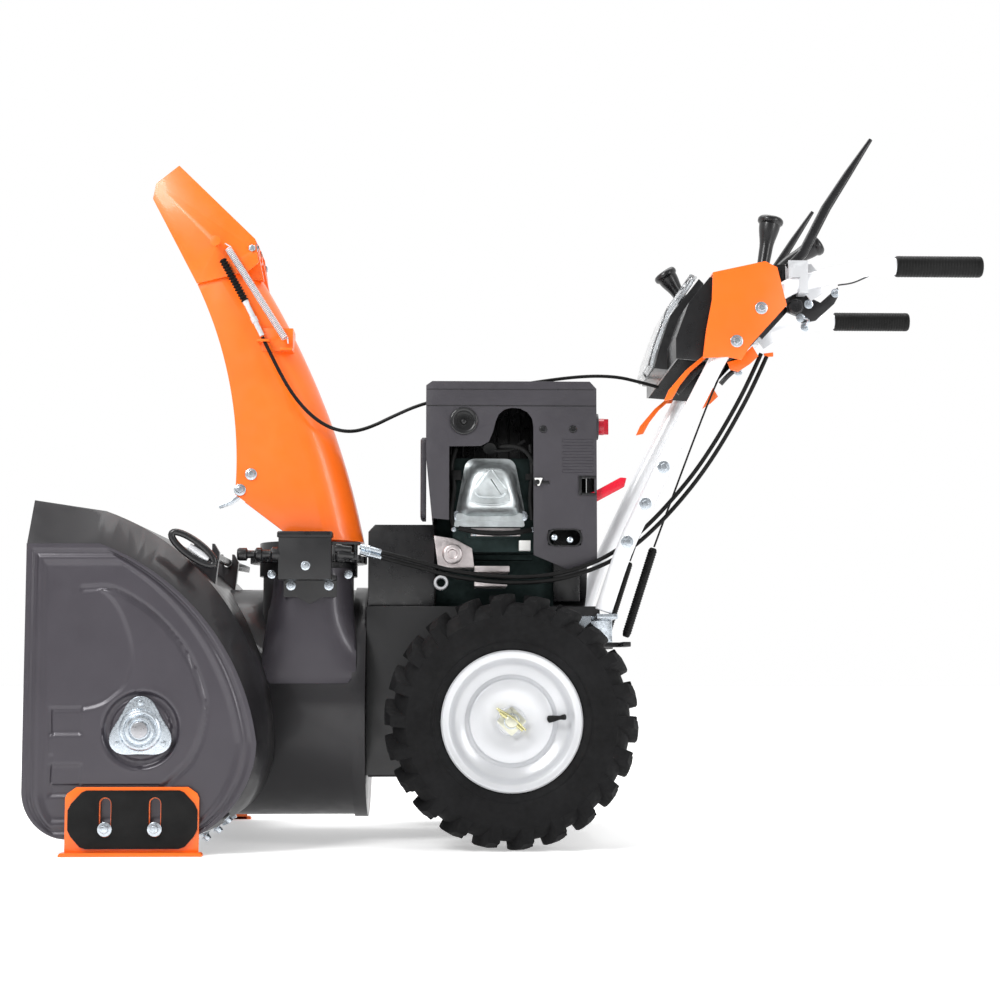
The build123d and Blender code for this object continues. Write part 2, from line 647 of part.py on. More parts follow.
def make_panel_side(side):
    shape = [(319, 933), (405, 952), (425, 942), (440, 879), (380, 813), (365, 788), (342, 793),
             (301, 791), (307, 837), (317, 887)]
    y = side * 268
    plate = slab(shape, *sorted((y, y - side * 3)))
    top = slab([(319, 930), (405, 949), (405, 952), (319, 933)], *sorted((y, side * 238)))
    return plate + top


def make_dash():
    """Hollow body between the panel's side plates, with the lever slots in its top."""
    outer = [(319, 933), (405, 952), (470, 958), (474, 930), (432, 868), (376, 806), (342, 790),
             (262, 796), (262, 830), (284, 890)]
    inner = [(321, 930), (405, 949), (467, 955), (470, 932), (429, 870), (374, 800), (340, 770),
             (265, 770), (265, 830), (287, 889)]
    body = slab(outer, -DASH_HALF, DASH_HALF) - slab(inner, -DASH_HALF + 3, DASH_HALF - 3)
    for x0, x1, y in LEVER_SLOTS:
        body -= block(x0, x1, y - 10, y + 10, 900, 990)
    for (x, z), y, roof in LEVER_PIVOTS:
        body += lever_pin(x, y, z, roof)
    lamp = slab([(318, 956), (326, 948), (325, 933), (288, 889), (266, 831), (266, 797), (240, 800),
                 (247, 830), (268, 892)], -104, 104)
    return body + lamp


def lever(y, foot, neck, head, head_r):
    """A control lever: round foot on its pivot, tapered stem, mushroom head."""
    foot_at, neck_at, head_at = (foot[0], y, foot[1]), (neck[0], y, neck[1]), (head[0], y, head[1])
    stem = rod_between(foot_at, neck_at, 4) + rod_between(neck_at, head_at, 8)
    axis = Vector(*head_at) - Vector(*neck_at)
    plane = Plane(origin=head_at, z_dir=axis)
    cap = extrude(plane * Circle(head_r), amount=11)
    stem += fillet(cap.edges(), 4)
    stem += rod_y(foot[0], foot[1], y - 7, y + 7, 8)
    return stem - rod_y(foot[0], foot[1], y - 20, y + 20, PIN_R + FIT)


def lever_pin(x, y, z, roof):
    """A lever's pivot pin on a lug that hangs from the dash's roof."""
    return rod_y(x, z, y - 9, y + 16, PIN_R) + block(x - 7, x + 7, y + 11, y + 16, z - 8, roof)


def make_headlight_lens():
    shape = [(316, 960), (266.5, 894), (244, 830), (237, 800), (229, 806), (238, 840), (262, 905), (304, 966)]
    hollow = [(312, 956), (266.5, 893), (244, 830), (238, 803), (233, 808), (241, 839), (264, 902), (306, 960)]
    return slab(shape, -100, 100) - slab(hollow, -97, 97)


def clutch_points(side):
    y = side * 205
    return [(344, y, 786), (330, y, 755), (312, y, 712), (286, y, 645), (256, y, 566), (226, y, 486)]


def make_clutch_cable(side):
    points = clutch_points(side)
    radii = arc_radii(points)
    path = FilletPolyline(*points, radius=radii)
    return sweep(Plane(origin=path @ 0, z_dir=path % 0) * Circle(1.6), path=path)


def make_clutch_spring(side):
    y = side * 205
    return rod_between((225, y, 484), (178, y, 338), 7.5)


def make_turning_cables():
    """The two cables that turn the chute, clipped together up to the panel."""
    upper = [(-250, -246, 482), (-206, -250, 470), (-156, -251, 457), (-108, -252, 444), (-56, -252, 436),
             (0, -252, 433), (54, -251, 437), (104, -246, 450), (145, -235, 468), (184, -227, 494),
             (222, -226, 528), (258, -224, 567), (292, -222, 608), (324, -222, 655), (354, -222, 705),
             (382, -222, 757), (404, -224, 806)]
    lower = [(-250, -246, 473), (-206, -250, 461), (-156, -251, 448), (-108, -252, 435), (-56, -252, 427),
             (0, -252, 424), (56, -251, 428), (106, -246, 441), (150, -235, 459), (192, -227, 486),
             (231, -226, 521), (267, -224, 560), (301, -222, 602), (333, -222, 649), (363, -222, 700),
             (391, -222, 752), (413, -224, 801)]
    return Compound(children=[cord(upper, 3.5), cord(lower, 3.5)])


def make_deflector_cable():
    points = [(-421.5, -204, 833), (-397, -204, 782), (-371, -203, 737), (-341, -200, 703), (-310, -193, 683),
              (-277, -176, 678), (-245, -140, 691), (-206, -62, 722), (-163, 12, 752), (-100, 32, 770),
              (-24, 33, 784), (56, 31, 798), (132, 30, 807), (186, 30, 806), (226, 30, 797), (262, 30, 787)]
    return cord(points, 3)


def make_tool():
    """Snow clean-out tool clipped across the housing's sloping back."""
    tool = rod_y(TOOL_X, TOOL_Z, -300, 120, TOOL_R)
    tool += block(TOOL_X - 9, TOOL_X + 9, -335, -300, TOOL_Z - 8, TOOL_Z + 8)
    return tool + block(TOOL_X - 8, TOOL_X + 30, 120, 200, TOOL_Z - 5, TOOL_Z + 7)


def both(make):
    """A left piece and a right piece as two solids of one node."""
    return Compound(children=[make(side) for side in SIDES.values()])


def build_parts():
    speed_pivot, deflector_pivot = LEVER_PIVOTS[1][0], LEVER_PIVOTS[2][0]
    parts = {
        "auger_wrapper": make_wrapper(),
        "side_plates": both(make_side_plate),
        "scraper_bar": make_scraper_bar(),
        "auger_bearings": make_auger_bearings(),
        "skid_bolts": make_skid_bolts(),
        "auger_shaft": make_auger_shaft(),
        "auger_flights": both(make_auger_flight),
        "gearbox": make_gearbox(),
        "impeller_shaft": make_impeller_shaft(),
        "impeller": make_impeller(),
        "impeller_pulley": make_pulley(-230, -208, DRUM_Z, 86, 10),
        "crank_pulley": make_pulley(-230, -208, CRANK_Z, 36, 12),
        "drive_belt": make_drive_belt(),
        "impeller_drum": make_impeller_drum(),
        "discharge_outlet": make_discharge_outlet(),
        "chute_ring": make_chute_ring(),
        "chute": make_chute(),
        "deflector": make_deflector(),
        "return_spring": make_return_spring(),
        "cable_boot": make_cable_boot(),
        "turning_bracket": make_turning_bracket(),
        "tractor_frame": make_tractor_frame(),
        "bottom_cover": make_bottom_cover(),
        "axle_bushes": make_axle_bushes(),
        "axle": make_axle(),
        "drive_gear": make_drive_gear(),
        "tyres": both(make_tyre),
        "rims": both(make_rim),
        "belt_cover": make_belt_cover(),
        "engine_block": make_engine_block(),
        "crankshaft": make_crankshaft(),
        "valve_cover": make_valve_cover(),
        "engine_hood": make_engine_hood(),
        "fuel_tank": make_fuel_tank(),
        "fuel_cap": make_fuel_cap(),
        "muffler": make_muffler(),
        "recoil_housing": make_recoil_housing(),
        "recoil_handle": make_recoil_handle(),
        "engine_knob": make_engine_knob(),
        "throttle_lever": make_throttle_lever(),
        "spark_lead": make_spark_lead(),
        "handlebars": both(make_handlebar),
        "handle_brackets": both(make_handle_bracket),
        "grips": both(make_grip),
        "lever_brackets": both(make_lever_bracket),
        "panel_sides": both(make_panel_side),
        "dash": make_dash(),
        "chute_lever": lever(125, LEVER_PIVOTS[0][0], (335, 940), (283, 1016), 22),
        "speed_lever": lever(0, speed_pivot, (440, 975), (463, 1090), 23),
        "deflector_lever": lever(-140, deflector_pivot, (450, 962), (520, 1012), 19),
        "headlight_lens": make_headlight_lens(),
        "turning_cables": make_turning_cables(),
        "clutch_cables": both(make_clutch_cable),
        "clutch_springs": both(make_clutch_spring),
        "deflector_cable": make_deflector_cable(),
        "clean_out_tool": make_tool(),
    }
    for name, side in SIDES.items():
        parts["skid_" + name] = Compound(children=[make_skid(side), make_skid_pad(side)])
        parts["paddle_" + name] = make_paddle(side)
    return parts


if __name__ == "__main__":
    os.makedirs("parts", exist_ok=True)
    for name, shape in build_parts().items():
        export_step(shape, "parts/" + name + ".step")
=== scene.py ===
"""Snow blower: the looks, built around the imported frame. Metres, in the frame's own axes.

+X is back to the operator, +Y the machine's right side, +Z up.
"""
import json
import math

import bmesh
import bpy
from mathutils import Matrix, Vector


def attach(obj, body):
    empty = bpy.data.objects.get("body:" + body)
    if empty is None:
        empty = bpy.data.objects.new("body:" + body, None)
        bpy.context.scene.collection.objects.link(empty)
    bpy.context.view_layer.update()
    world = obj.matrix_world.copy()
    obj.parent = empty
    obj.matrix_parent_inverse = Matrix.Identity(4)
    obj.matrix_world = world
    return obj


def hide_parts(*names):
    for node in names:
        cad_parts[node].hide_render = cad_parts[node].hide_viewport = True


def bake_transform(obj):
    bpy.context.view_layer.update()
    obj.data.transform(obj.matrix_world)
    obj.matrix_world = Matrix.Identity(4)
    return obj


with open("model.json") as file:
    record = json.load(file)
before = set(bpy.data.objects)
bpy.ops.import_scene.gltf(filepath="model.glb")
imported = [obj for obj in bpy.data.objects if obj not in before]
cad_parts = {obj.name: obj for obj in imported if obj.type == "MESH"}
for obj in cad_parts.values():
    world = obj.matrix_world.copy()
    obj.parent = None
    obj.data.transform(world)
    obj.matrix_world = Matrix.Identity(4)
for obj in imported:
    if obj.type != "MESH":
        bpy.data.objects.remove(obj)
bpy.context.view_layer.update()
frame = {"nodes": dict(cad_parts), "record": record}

BODIES = frame["record"]["behaviour"]["bodies"]
BODY_OF = {node: body for body, nodes in BODIES.items() for node in nodes}
SLOT_OF = {part["node"]: part["material_slot"] for part in frame["record"]["subparts"]}
SIDES = (-1, 1)
HANDS = (("left", -1), ("right", 1))
MM = 0.001

AXLE = Vector((-0.012, 0.0, 0.203))
WHEEL_Y = 0.260
LUGS = 22

# Places in millimetres, for p3() and the side-view outlines.
AUGER_X, AUGER_Z = -587, 192
HOUSING_FRONT = -768.0
PLATE_FOOT, PLATE_TOP, PLATE_OUT = 24.0, 480.0, 357.5
SKID_SLOTS = (-638, -562)
SHOE_IN, SHOE_OUT, PAD_OUT = 358, 362, 367
HANDLE_Y = 250
CLUTCH_Y = 205

AUGER = Vector((AUGER_X * MM, 0.0, AUGER_Z * MM))


# ------------------------------------------------------------------ materials

M = {}


class Shader:
    """A small builder for one procedural material, kept in M under its name."""

    def __init__(self, name, roughness, metallic=0.0, coat=0.0, coat_roughness=0.08, specular=0.5):
        self.material = bpy.data.materials.new(name)
        M[name] = self.material
        self.material.use_nodes = True
        self.nodes = self.material.node_tree.nodes
        self.links = self.material.node_tree.links
        self.shader = self.nodes["Principled BSDF"]
        self.shader.inputs["Roughness"].default_value = roughness
        self.shader.inputs["Metallic"].default_value = metallic
        self.shader.inputs["Coat Weight"].default_value = coat
        self.shader.inputs["Coat Roughness"].default_value = coat_roughness
        self.shader.inputs["Specular IOR Level"].default_value = specular
        self.place = self.nodes.new("ShaderNodeTexCoord").outputs["Object"]

    def noise(self, scale, detail=4.0, stretch=(1, 1, 1)):
        mapping = self.nodes.new("ShaderNodeMapping")
        mapping.inputs["Scale"].default_value = stretch
        texture = self.nodes.new("ShaderNodeTexNoise")
        texture.inputs["Scale"].default_value = scale
        texture.inputs["Detail"].default_value = detail
        self.links.new(self.place, mapping.inputs["Vector"])
        self.links.new(mapping.outputs["Vector"], texture.inputs["Vector"])
        return texture.outputs["Fac"]

    def ramp(self, source, stops):
        node = self.nodes.new("ShaderNodeValToRGB")
        ramp = node.color_ramp
        while len(ramp.elements) < len(stops):
            ramp.elements.new(0.5)
        for element, (at, colour) in zip(ramp.elements, stops):
            element.position = at
            element.color = (*colour, 1.0)
        self.links.new(source, node.inputs["Fac"])
        return node.outputs["Color"]

    def span(self, source, low, high):
        node = self.nodes.new("ShaderNodeMapRange")
        node.inputs["From Min"].default_value = 0.3
        node.inputs["From Max"].default_value = 0.7
        node.inputs["To Min"].default_value = low
        node.inputs["To Max"].default_value = high
        self.links.new(source, node.inputs["Value"])
        return node.outputs["Result"]

    def colour(self, output):
        self.links.new(output, self.shader.inputs["Base Color"])

    def roughness(self, output):
        self.links.new(output, self.shader.inputs["Roughness"])

    def bump(self, *layers):
        """Layers of (height output, strength, distance in metres), one after the other."""
        normal = None
        for height, strength, distance in layers:
            node = self.nodes.new("ShaderNodeBump")
            node.inputs["Strength"].default_value = strength
            node.inputs["Distance"].default_value = distance
            self.links.new(height, node.inputs["Height"])
            if normal is not None:
                self.links.new(normal, node.inputs["Normal"])
            normal = node.outputs["Normal"]
        self.links.new(normal, self.shader.inputs["Normal"])


def shades(colour, spread):
    """The darker and lighter neighbours of a colour, as ramp stops."""
    dark = tuple(channel * (1 - spread) for channel in colour)
    light = tuple(min(1.0, channel * (1 + spread)) for channel in colour)
    return [(0.3, dark), (0.7, light)]


def painted(name, colour, roughness, metallic=0.0, coat=0.0, peel=0.25, spread=0.08):
    """Sprayed paint: slow tone drift, orange peel and fine specks."""
    s = Shader(name, roughness, metallic, coat)
    s.colour(s.ramp(s.noise(7.0, 6.0), shades(colour, spread)))
    s.roughness(s.span(s.noise(38.0, 5.0), roughness - 0.05, roughness + 0.07))
    s.bump((s.noise(420.0, 2.0), peel, 0.0002), (s.noise(2600.0, 1.0), peel * 0.5, 0.00005))


def plated(name, colour, roughness, stretch=(1, 1, 1), spread=0.08):
    """Bare or plated metal: cloudy tone, fine directional scratches."""
    s = Shader(name, roughness, 1.0)
    s.colour(s.ramp(s.noise(90.0, 6.0), shades(colour, spread)))
    s.roughness(s.span(s.noise(260.0, 5.0, stretch), roughness - 0.09, roughness + 0.12))
    s.bump((s.noise(700.0, 3.0, stretch), 0.05, 0.00005))


def moulded(name, colour, roughness, grain=0.35, grain_scale=1500.0, spread=0.12, coat=0.0):
    """Injection-moulded plastic with a fine leather-like grain."""
    s = Shader(name, roughness, 0.0, coat)
    s.colour(s.ramp(s.noise(11.0, 5.0), shades(colour, spread)))
    s.roughness(s.span(s.noise(70.0, 4.0), roughness - 0.06, roughness + 0.08))
    s.bump((s.noise(grain_scale, 2.0), grain, 0.00005))


def rubbery(name, colour, roughness, grain=0.5):
    """Rubber: dull, slightly bloomed, finely pitted."""
    s = Shader(name, roughness, 0.0, specular=0.16)
    s.colour(s.ramp(s.noise(24.0, 8.0), shades(colour, 0.35)))
    s.roughness(s.span(s.noise(120.0, 5.0), roughness - 0.1, roughness + 0.08))
    s.bump((s.noise(900.0, 4.0), grain, 0.00018))


def cast_metal(name, colour, roughness):
    """Sand or die casting: grainy skin, tone blotches."""
    s = Shader(name, roughness, 0.9)
    s.colour(s.ramp(s.noise(40.0, 8.0), shades(colour, 0.25)))
    s.roughness(s.span(s.noise(150.0, 6.0), roughness - 0.08, roughness + 0.12))
    s.bump((s.noise(650.0, 5.0), 0.5, 0.0003))


def clear_lens(name):
    """Clear moulded lamp cover."""
    s = Shader(name, 0.06, 0.0, coat=0.3)
    s.shader.inputs["Transmission Weight"].default_value = 0.92
    s.shader.inputs["IOR"].default_value = 1.46
    s.shader.inputs["Base Color"].default_value = (0.93, 0.95, 0.97, 1.0)
    s.roughness(s.span(s.noise(60.0, 3.0), 0.03, 0.10))


# The drum paint is the housing's one paint made darker, as painted shade on the auger wrapper, impeller drum
# and discharge outlet. housing_paint below is the lighter, lit copy of the same paint.
painted("shaded_housing_paint", (0.017, 0.016, 0.018), 0.36, 0.3, coat=0.2)
painted("housing_paint", (0.050, 0.045, 0.055), 0.38, 0.3, coat=0.2, peel=0.3)
painted("orange_paint", (0.95, 0.15, 0.006), 0.34, coat=0.25, peel=0.15, spread=0.05)
painted("black_paint", (0.009, 0.009, 0.01), 0.42, coat=0.1)
painted("silver_paint", (0.62, 0.63, 0.65), 0.36, 0.35, coat=0.3, spread=0.05)
painted("handle_silver", (0.80, 0.81, 0.83), 0.36, 0.15, coat=0.3, peel=0.05, spread=0.03)
plated("zinc", (0.55, 0.60, 0.65), 0.27)
plated("yellow_zinc", (0.66, 0.62, 0.33), 0.3)
plated("pale_zinc", (0.66, 0.66, 0.55), 0.36)
plated("steel", (0.42, 0.42, 0.44), 0.34, (1, 6, 1))
cast_metal("cast_alloy", (0.56, 0.6, 0.61), 0.38)
cast_metal("pink_alloy", (0.60, 0.55, 0.55), 0.4)
cast_metal("green_iron", (0.022, 0.034, 0.033), 0.5)
rubbery("tyre_rubber", (0.0055, 0.0055, 0.006), 0.7)
rubbery("rubber", (0.007, 0.007, 0.007), 0.5, 0.3)
moulded("hood_plastic", (0.036, 0.033, 0.040), 0.48)
moulded("black_plastic", (0.006, 0.006, 0.007), 0.3, 0.12, coat=0.1)
moulded("white_plastic", (0.72, 0.72, 0.7), 0.4, 0.2)
moulded("red_plastic", (0.62, 0.004, 0.025), 0.24, 0.15, coat=0.3)
clear_lens("lens")


# ------------------------------------------------------------------ mesh tools

def finish_piece(obj, body, material):
    obj.data.materials.clear()
    obj.data.materials.append(M[material])
    if body:
        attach(obj, body)
    return obj


def mesh_object(name, bm, sharp=38.0):
    """Turn a bmesh into a smooth-shaded object with its sharp edges kept."""
    bmesh.ops.recalc_face_normals(bm, faces=bm.faces)
    mesh = bpy.data.meshes.new(name)
    bm.to_mesh(mesh)
    bm.free()
    mesh.shade_smooth()
    mesh.set_sharp_from_angle(angle=math.radians(sharp))
    obj = bpy.data.objects.new(name, mesh)
    bpy.context.scene.collection.objects.link(obj)
    return obj


def round_edges(bm, width, angle=30.0, segments=2):
    """Round the edges whose faces meet at more than the angle."""
    edges = [edge for edge in bm.edges
             if len(edge.link_faces) == 2 and edge.calc_face_angle(0.0) > math.radians(angle)]
    if edges:
        bmesh.ops.bevel(bm, geom=edges, offset=width, segments=segments, profile=0.6,
                        affect="EDGES", clamp_overlap=True)


def refine(node, material, width):
    """A copy of a CAD node's shape with rounded edges and a proper material."""
    bm = bmesh.new()
    bm.from_mesh(frame["nodes"][node].data)
    bmesh.ops.remove_doubles(bm, verts=bm.verts, dist=0.00002)
    bmesh.ops.dissolve_limit(bm, angle_limit=math.radians(0.6), verts=bm.verts, edges=bm.edges)
    round_edges(bm, width)
    obj = mesh_object(node + "_skin", bm)
    finish_piece(obj, BODY_OF[node], material)
    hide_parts(node)
    return obj


def axis_matrix(origin, direction, roll=(0, 0, 1)):
    """Local +Z along the direction, local +X as near to the roll direction as it can be."""
    z = Vector(direction).normalized()
    x = Vector(roll) - z * Vector(roll).dot(z)
    if x.length < 1e-4:
        x = Vector((1, 0, 0)) - z * z.x
    x.normalize()
    y = z.cross(x)
    return Matrix.Translation(Vector(origin)) @ Matrix((x, y, z)).transposed().to_4x4()


def add_lathe(bm, profile, matrix, segments=48, closed=False):
    """Revolve (radius, height) points about local Z. An end at radius 0 closes the form."""
    rings = []
    for radius, height in profile:
        if radius < 1e-7:
            rings.append([bm.verts.new(matrix @ Vector((0, 0, height)))])
            continue
        ring = []
        for step in range(segments):
            angle = 2 * math.pi * step / segments
            point = Vector((radius * math.cos(angle), radius * math.sin(angle), height))
            ring.append(bm.verts.new(matrix @ point))
        rings.append(ring)
    pairs = list(zip(rings, rings[1:]))
    if closed:
        pairs.append((rings[-1], rings[0]))
    for low, high in pairs:
        for step in range(segments):
            after = (step + 1) % segments
            if len(low) == 1 and len(high) == 1:
                continue
            if len(low) == 1:
                bm.faces.new((low[0], high[after], high[step]))
            elif len(high) == 1:
                bm.faces.new((low[step], low[after], high[0]))
            else:
                bm.faces.new((low[step], low[after], high[after], high[step]))


def add_box(bm, low, high, matrix=None):
    (x0, y0, z0), (x1, y1, z1) = low, high
    corners = [(x, y, z) for x in (x0, x1) for y in (y0, y1) for z in (z0, z1)]
    verts = [bm.verts.new((matrix @ Vector(c)) if matrix else Vector(c)) for c in corners]
    for face in ((0, 1, 3, 2), (4, 6, 7, 5), (0, 4, 5, 1), (2, 3, 7, 6), (0, 2, 6, 4), (1, 5, 7, 3)):
        bm.faces.new([verts[i] for i in face])


def add_prism(bm, outline, y0, y1):
    """Extrude a side-view outline of (x, z) points between two y planes."""
    near = [bm.verts.new((x, y0, z)) for x, z in outline]
    far = [bm.verts.new((x, y1, z)) for x, z in outline]
    bm.faces.new(near)
    bm.faces.new(far[::-1])
    count = len(outline)
    for i in range(count):
        j = (i + 1) % count
        bm.faces.new((near[i], far[i], far[j], near[j]))


def add_loft(bm, sections, caps=True):
    """Skin between closed sections that have the same number of points."""
    rings = [[bm.verts.new(Vector(p)) for p in section] for section in sections]
    for low, high in zip(rings, rings[1:]):
        count = len(low)
        for i in range(count):
            j = (i + 1) % count
            bm.faces.new((low[i], low[j], high[j], high[i]))
    if caps:
        bm.faces.new(rings[0][::-1])
        bm.faces.new(rings[-1])


def rounded(half_x, half_y, radius, steps=5):
    """A rounded rectangle's outline about the origin, anticlockwise."""
    points = []
    for quarter, (sx, sy) in enumerate(((1, 1), (-1, 1), (-1, -1), (1, -1))):
        for step in range(steps + 1):
            angle = math.pi / 2 * (quarter + step / steps)
            points.append((sx * (half_x - radius) + radius * math.cos(angle),
                           sy * (half_y - radius) + radius * math.sin(angle)))
    return points


def add_bolt(bm, origin, direction, radius, height, washer=True):
    """A hex head with a chamfered top, on a flat washer."""
    matrix = axis_matrix(origin, direction)
    base = 0.0
    if washer:
        base = 0.18 * radius
        add_lathe(bm, [(0, 0), (1.7 * radius, 0), (1.78 * radius, 0.04 * radius),
                       (1.78 * radius, base * 0.8), (1.7 * radius, base), (0, base)], matrix, 28)
    add_lathe(bm, [(0, base), (1.12 * radius, base), (1.12 * radius, base + height * 0.8),
                   (0.98 * radius, base + height), (0, base + height)], matrix, 6)


def add_screw(bm, origin, direction, radius):
    """A low pan-head screw with a round recess."""
    matrix = axis_matrix(origin, direction)
    add_lathe(bm, [(0, -0.001), (radius, -0.001), (radius, radius * 0.25), (radius * 0.8, radius * 0.5),
                   (radius * 0.35, radius * 0.62), (radius * 0.3, radius * 0.3), (0, radius * 0.25)],
              matrix, 20)


def new_piece(name, build, material, body, nodes=(), sharp=38.0, width=0.0):
    """Build a mesh with a function that fills a bmesh, and set it up as a piece."""
    bm = bmesh.new()
    build(bm)
    if width:
        bmesh.ops.recalc_face_normals(bm, faces=bm.faces)
        round_edges(bm, width)
    obj = finish_piece(mesh_object(name, bm, sharp), body, material)
    if nodes:
        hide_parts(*nodes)
    return obj


def both(add_one):
    """A builder that adds a left piece and a right one."""
    return lambda bm: [add_one(bm, side) for side in SIDES]


def cable(name, points, radius, material, body, nodes=()):
    """A smooth NURBS tube through a given route."""
    curve = bpy.data.curves.new(name, "CURVE")
    curve.dimensions = "3D"
    curve.bevel_depth = radius
    curve.bevel_resolution = 5
    curve.resolution_u = 10
    curve.use_fill_caps = True
    spline = curve.splines.new("NURBS")
    spline.points.add(len(points) - 1)
    for point, place in zip(spline.points, points):
        point.co = (*place, 1.0)
    spline.order_u = 3
    spline.use_endpoint_u = True
    obj = bpy.data.objects.new(name, curve)
    bpy.context.scene.collection.objects.link(obj)
    finish_piece(obj, body, material)
    if nodes:
        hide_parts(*nodes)
    return obj


def p3(x, y, z):
    """A point given in millimetres."""
    return Vector((x * MM, y * MM, z * MM))


def metres(pairs):
    """Pairs of numbers given in millimetres."""
    return [(a * MM, b * MM) for a, b in pairs]


def along(points, count):
    """Evenly spread points on a smooth curve through the given ones (Catmull-Rom)."""
    points = [Vector(p) for p in points]
    ends = [points[0] * 2 - points[1]] + points + [points[-1] * 2 - points[-2]]
    out = []
    for step in range(count + 1):
        t = step / count * (len(points) - 1)
        i = min(int(t), len(points) - 2)
        t -= i
        a, b, c, d = ends[i:i + 4]
        out.append(0.5 * (2 * b + (c - a) * t + (2 * a - 5 * b + 4 * c - d) * t * t
                          + (3 * b - a - 3 * c + d) * t ** 3))
    return out


def add_tube(bm, points, radii, segments=20, flat=1.0):
    """A round bar along points, one radius for each, with closed ends. flat squashes it across Y."""
    rings = []
    for i, (point, radius) in enumerate(zip(points, radii)):
        ahead = (points[min(i + 1, len(points) - 1)] - points[max(i - 1, 0)]).normalized()
        side = Vector((0, 1, 0)) - ahead * ahead.y
        if i == 0 and side.length < 0.3:
            side = Vector((0, 0, 1)) - ahead * ahead.z
        if i > 0:
            side = previous - ahead * previous.dot(ahead)
        side.normalize()
        previous = side
        up = ahead.cross(side)
        rings.append([bm.verts.new(point + side * radius * flat * math.cos(2 * math.pi * s / segments)
                                   + up * radius * math.sin(2 * math.pi * s / segments))
                      for s in range(segments)])
    for low, high in zip(rings, rings[1:]):
        for s in range(segments):
            t = (s + 1) % segments
            bm.faces.new((low[s], low[t], high[t], high[s]))
    bm.faces.new(rings[0][::-1])
    bm.faces.new(rings[-1])


def smooth(value, low, high):
    """0 below low, 1 above high, and a soft step between them."""
    t = min(1.0, max(0.0, (value - low) / (high - low)))
    return t * t * (3 - 2 * t)


# ------------------------------------------------------------------ CAD nodes, edges rounded

# The auger wrapper, impeller drum and discharge outlet take the darker copy of the housing's paint, as
# painted shade.
REFINED = {
    "auger_wrapper": ("shaded_housing_paint", 1.2), "scraper_bar": ("zinc", 0.6), "gearbox": ("cast_alloy", 1.5),
    "auger_shaft": ("steel", 0.6), "auger_flights": ("black_paint", 0.7), "impeller_shaft": ("steel", 0.4),
    "impeller": ("black_paint", 0.8), "impeller_pulley": ("steel", 0.5), "crank_pulley": ("steel", 0.5),
    "drive_belt": ("rubber", 0.8), "impeller_drum": ("shaded_housing_paint", 1.4),
    "discharge_outlet": ("shaded_housing_paint", 1.4), "chute_ring": ("black_plastic", 0.8),
    "chute": ("orange_paint", 0.9), "deflector": ("orange_paint", 0.9),
    "turning_bracket": ("black_paint", 1.2), "tractor_frame": ("black_paint", 1.4),
    "bottom_cover": ("black_paint", 0.8), "axle_bushes": ("steel", 0.5), "axle": ("zinc", 0.6),
    "drive_gear": ("steel", 0.4), "belt_cover": ("black_plastic", 3.5), "engine_block": ("green_iron", 0.5),
    "crankshaft": ("steel", 0.4), "engine_hood": ("hood_plastic", 2.4), "fuel_tank": ("black_plastic", 5.0),
    "fuel_cap": ("black_plastic", 1.2), "muffler": ("steel", 4.0), "recoil_housing": ("black_plastic", 3.0),
    "recoil_handle": ("black_plastic", 2.0), "engine_knob": ("red_plastic", 1.2),
    "throttle_lever": ("red_plastic", 1.6), "handlebars": ("handle_silver", 0.3),
    "handle_brackets": ("zinc", 1.0), "lever_brackets": ("silver_paint", 0.8),
    "panel_sides": ("orange_paint", 0.8), "dash": ("black_plastic", 2.0), "headlight_lens": ("lens", 1.0),
}
for node, (material, width) in REFINED.items():
    refine(node, material, width * MM)


# ------------------------------------------------------------------ auger housing sides

def arc(a, b, c, count):
    """Points on the circle from a through b to c, as (x, z)."""
    (ax, az), (bx, bz), (cx, cz) = a, b, c
    d = 2 * (ax * (bz - cz) + bx * (cz - az) + cx * (az - bz))
    aa, bb, cc = ax * ax + az * az, bx * bx + bz * bz, cx * cx + cz * cz
    ox = (aa * (bz - cz) + bb * (cz - az) + cc * (az - bz)) / d
    oz = (aa * (cx - bx) + bb * (ax - cx) + cc * (bx - ax)) / d
    radius = math.hypot(ax - ox, az - oz)
    start, end = math.atan2(az - oz, ax - ox), math.atan2(cz - oz, cx - ox)
    return [(ox + radius * math.cos(start + (end - start) * i / count),
             oz + radius * math.sin(start + (end - start) * i / count)) for i in range(count + 1)]


PLATE_BACK = ([(-530, 24), (-492, 33)] + arc((-470, 48), (-437, 84), (-409, 172), 14)
              + arc((-409, 172), (-500, 373), (-655, 480), 40)[1:])
CRESCENT_OUTER = [(-680, 410), (-635, 410), (-587, 385), (-547, 349), (-515, 306), (-495, 258), (-488, 223),
                  (-494, 180), (-513, 141), (-547, 108)]
CRESCENT_INNER = [(-724, 227), (-671, 229), (-636, 243), (-613, 270), (-606, 310), (-618, 357), (-642, 396),
                  (-680, 420)]


def at_height(curve, z):
    """x of a rising (x, z) curve at height z."""
    for (x0, z0), (x1, z1) in zip(curve, curve[1:]):
        if z0 <= z <= z1 and z1 > z0:
            return x0 + (x1 - x0) * (z - z0) / (z1 - z0)
    return curve[-1][0] if z > curve[-1][1] else curve[0][0]


def to_curve(curve, x, z):
    """Distance from a point to an (x, z) polyline."""
    best = 1e9
    for (x0, z0), (x1, z1) in zip(curve, curve[1:]):
        dx, dz = x1 - x0, z1 - z0
        t = min(1.0, max(0.0, ((x - x0) * dx + (z - z0) * dz) / (dx * dx + dz * dz)))
        best = min(best, math.hypot(x - x0 - t * dx, z - z0 - t * dz))
    return best


CRESCENT = [(p.x, p.z) for p in along([Vector((x, 0, z)) for x, z in CRESCENT_OUTER], 50)]
CRESCENT_IN = [(p.x, p.z) for p in along([Vector((x, 0, z)) for x, z in CRESCENT_INNER], 40)]


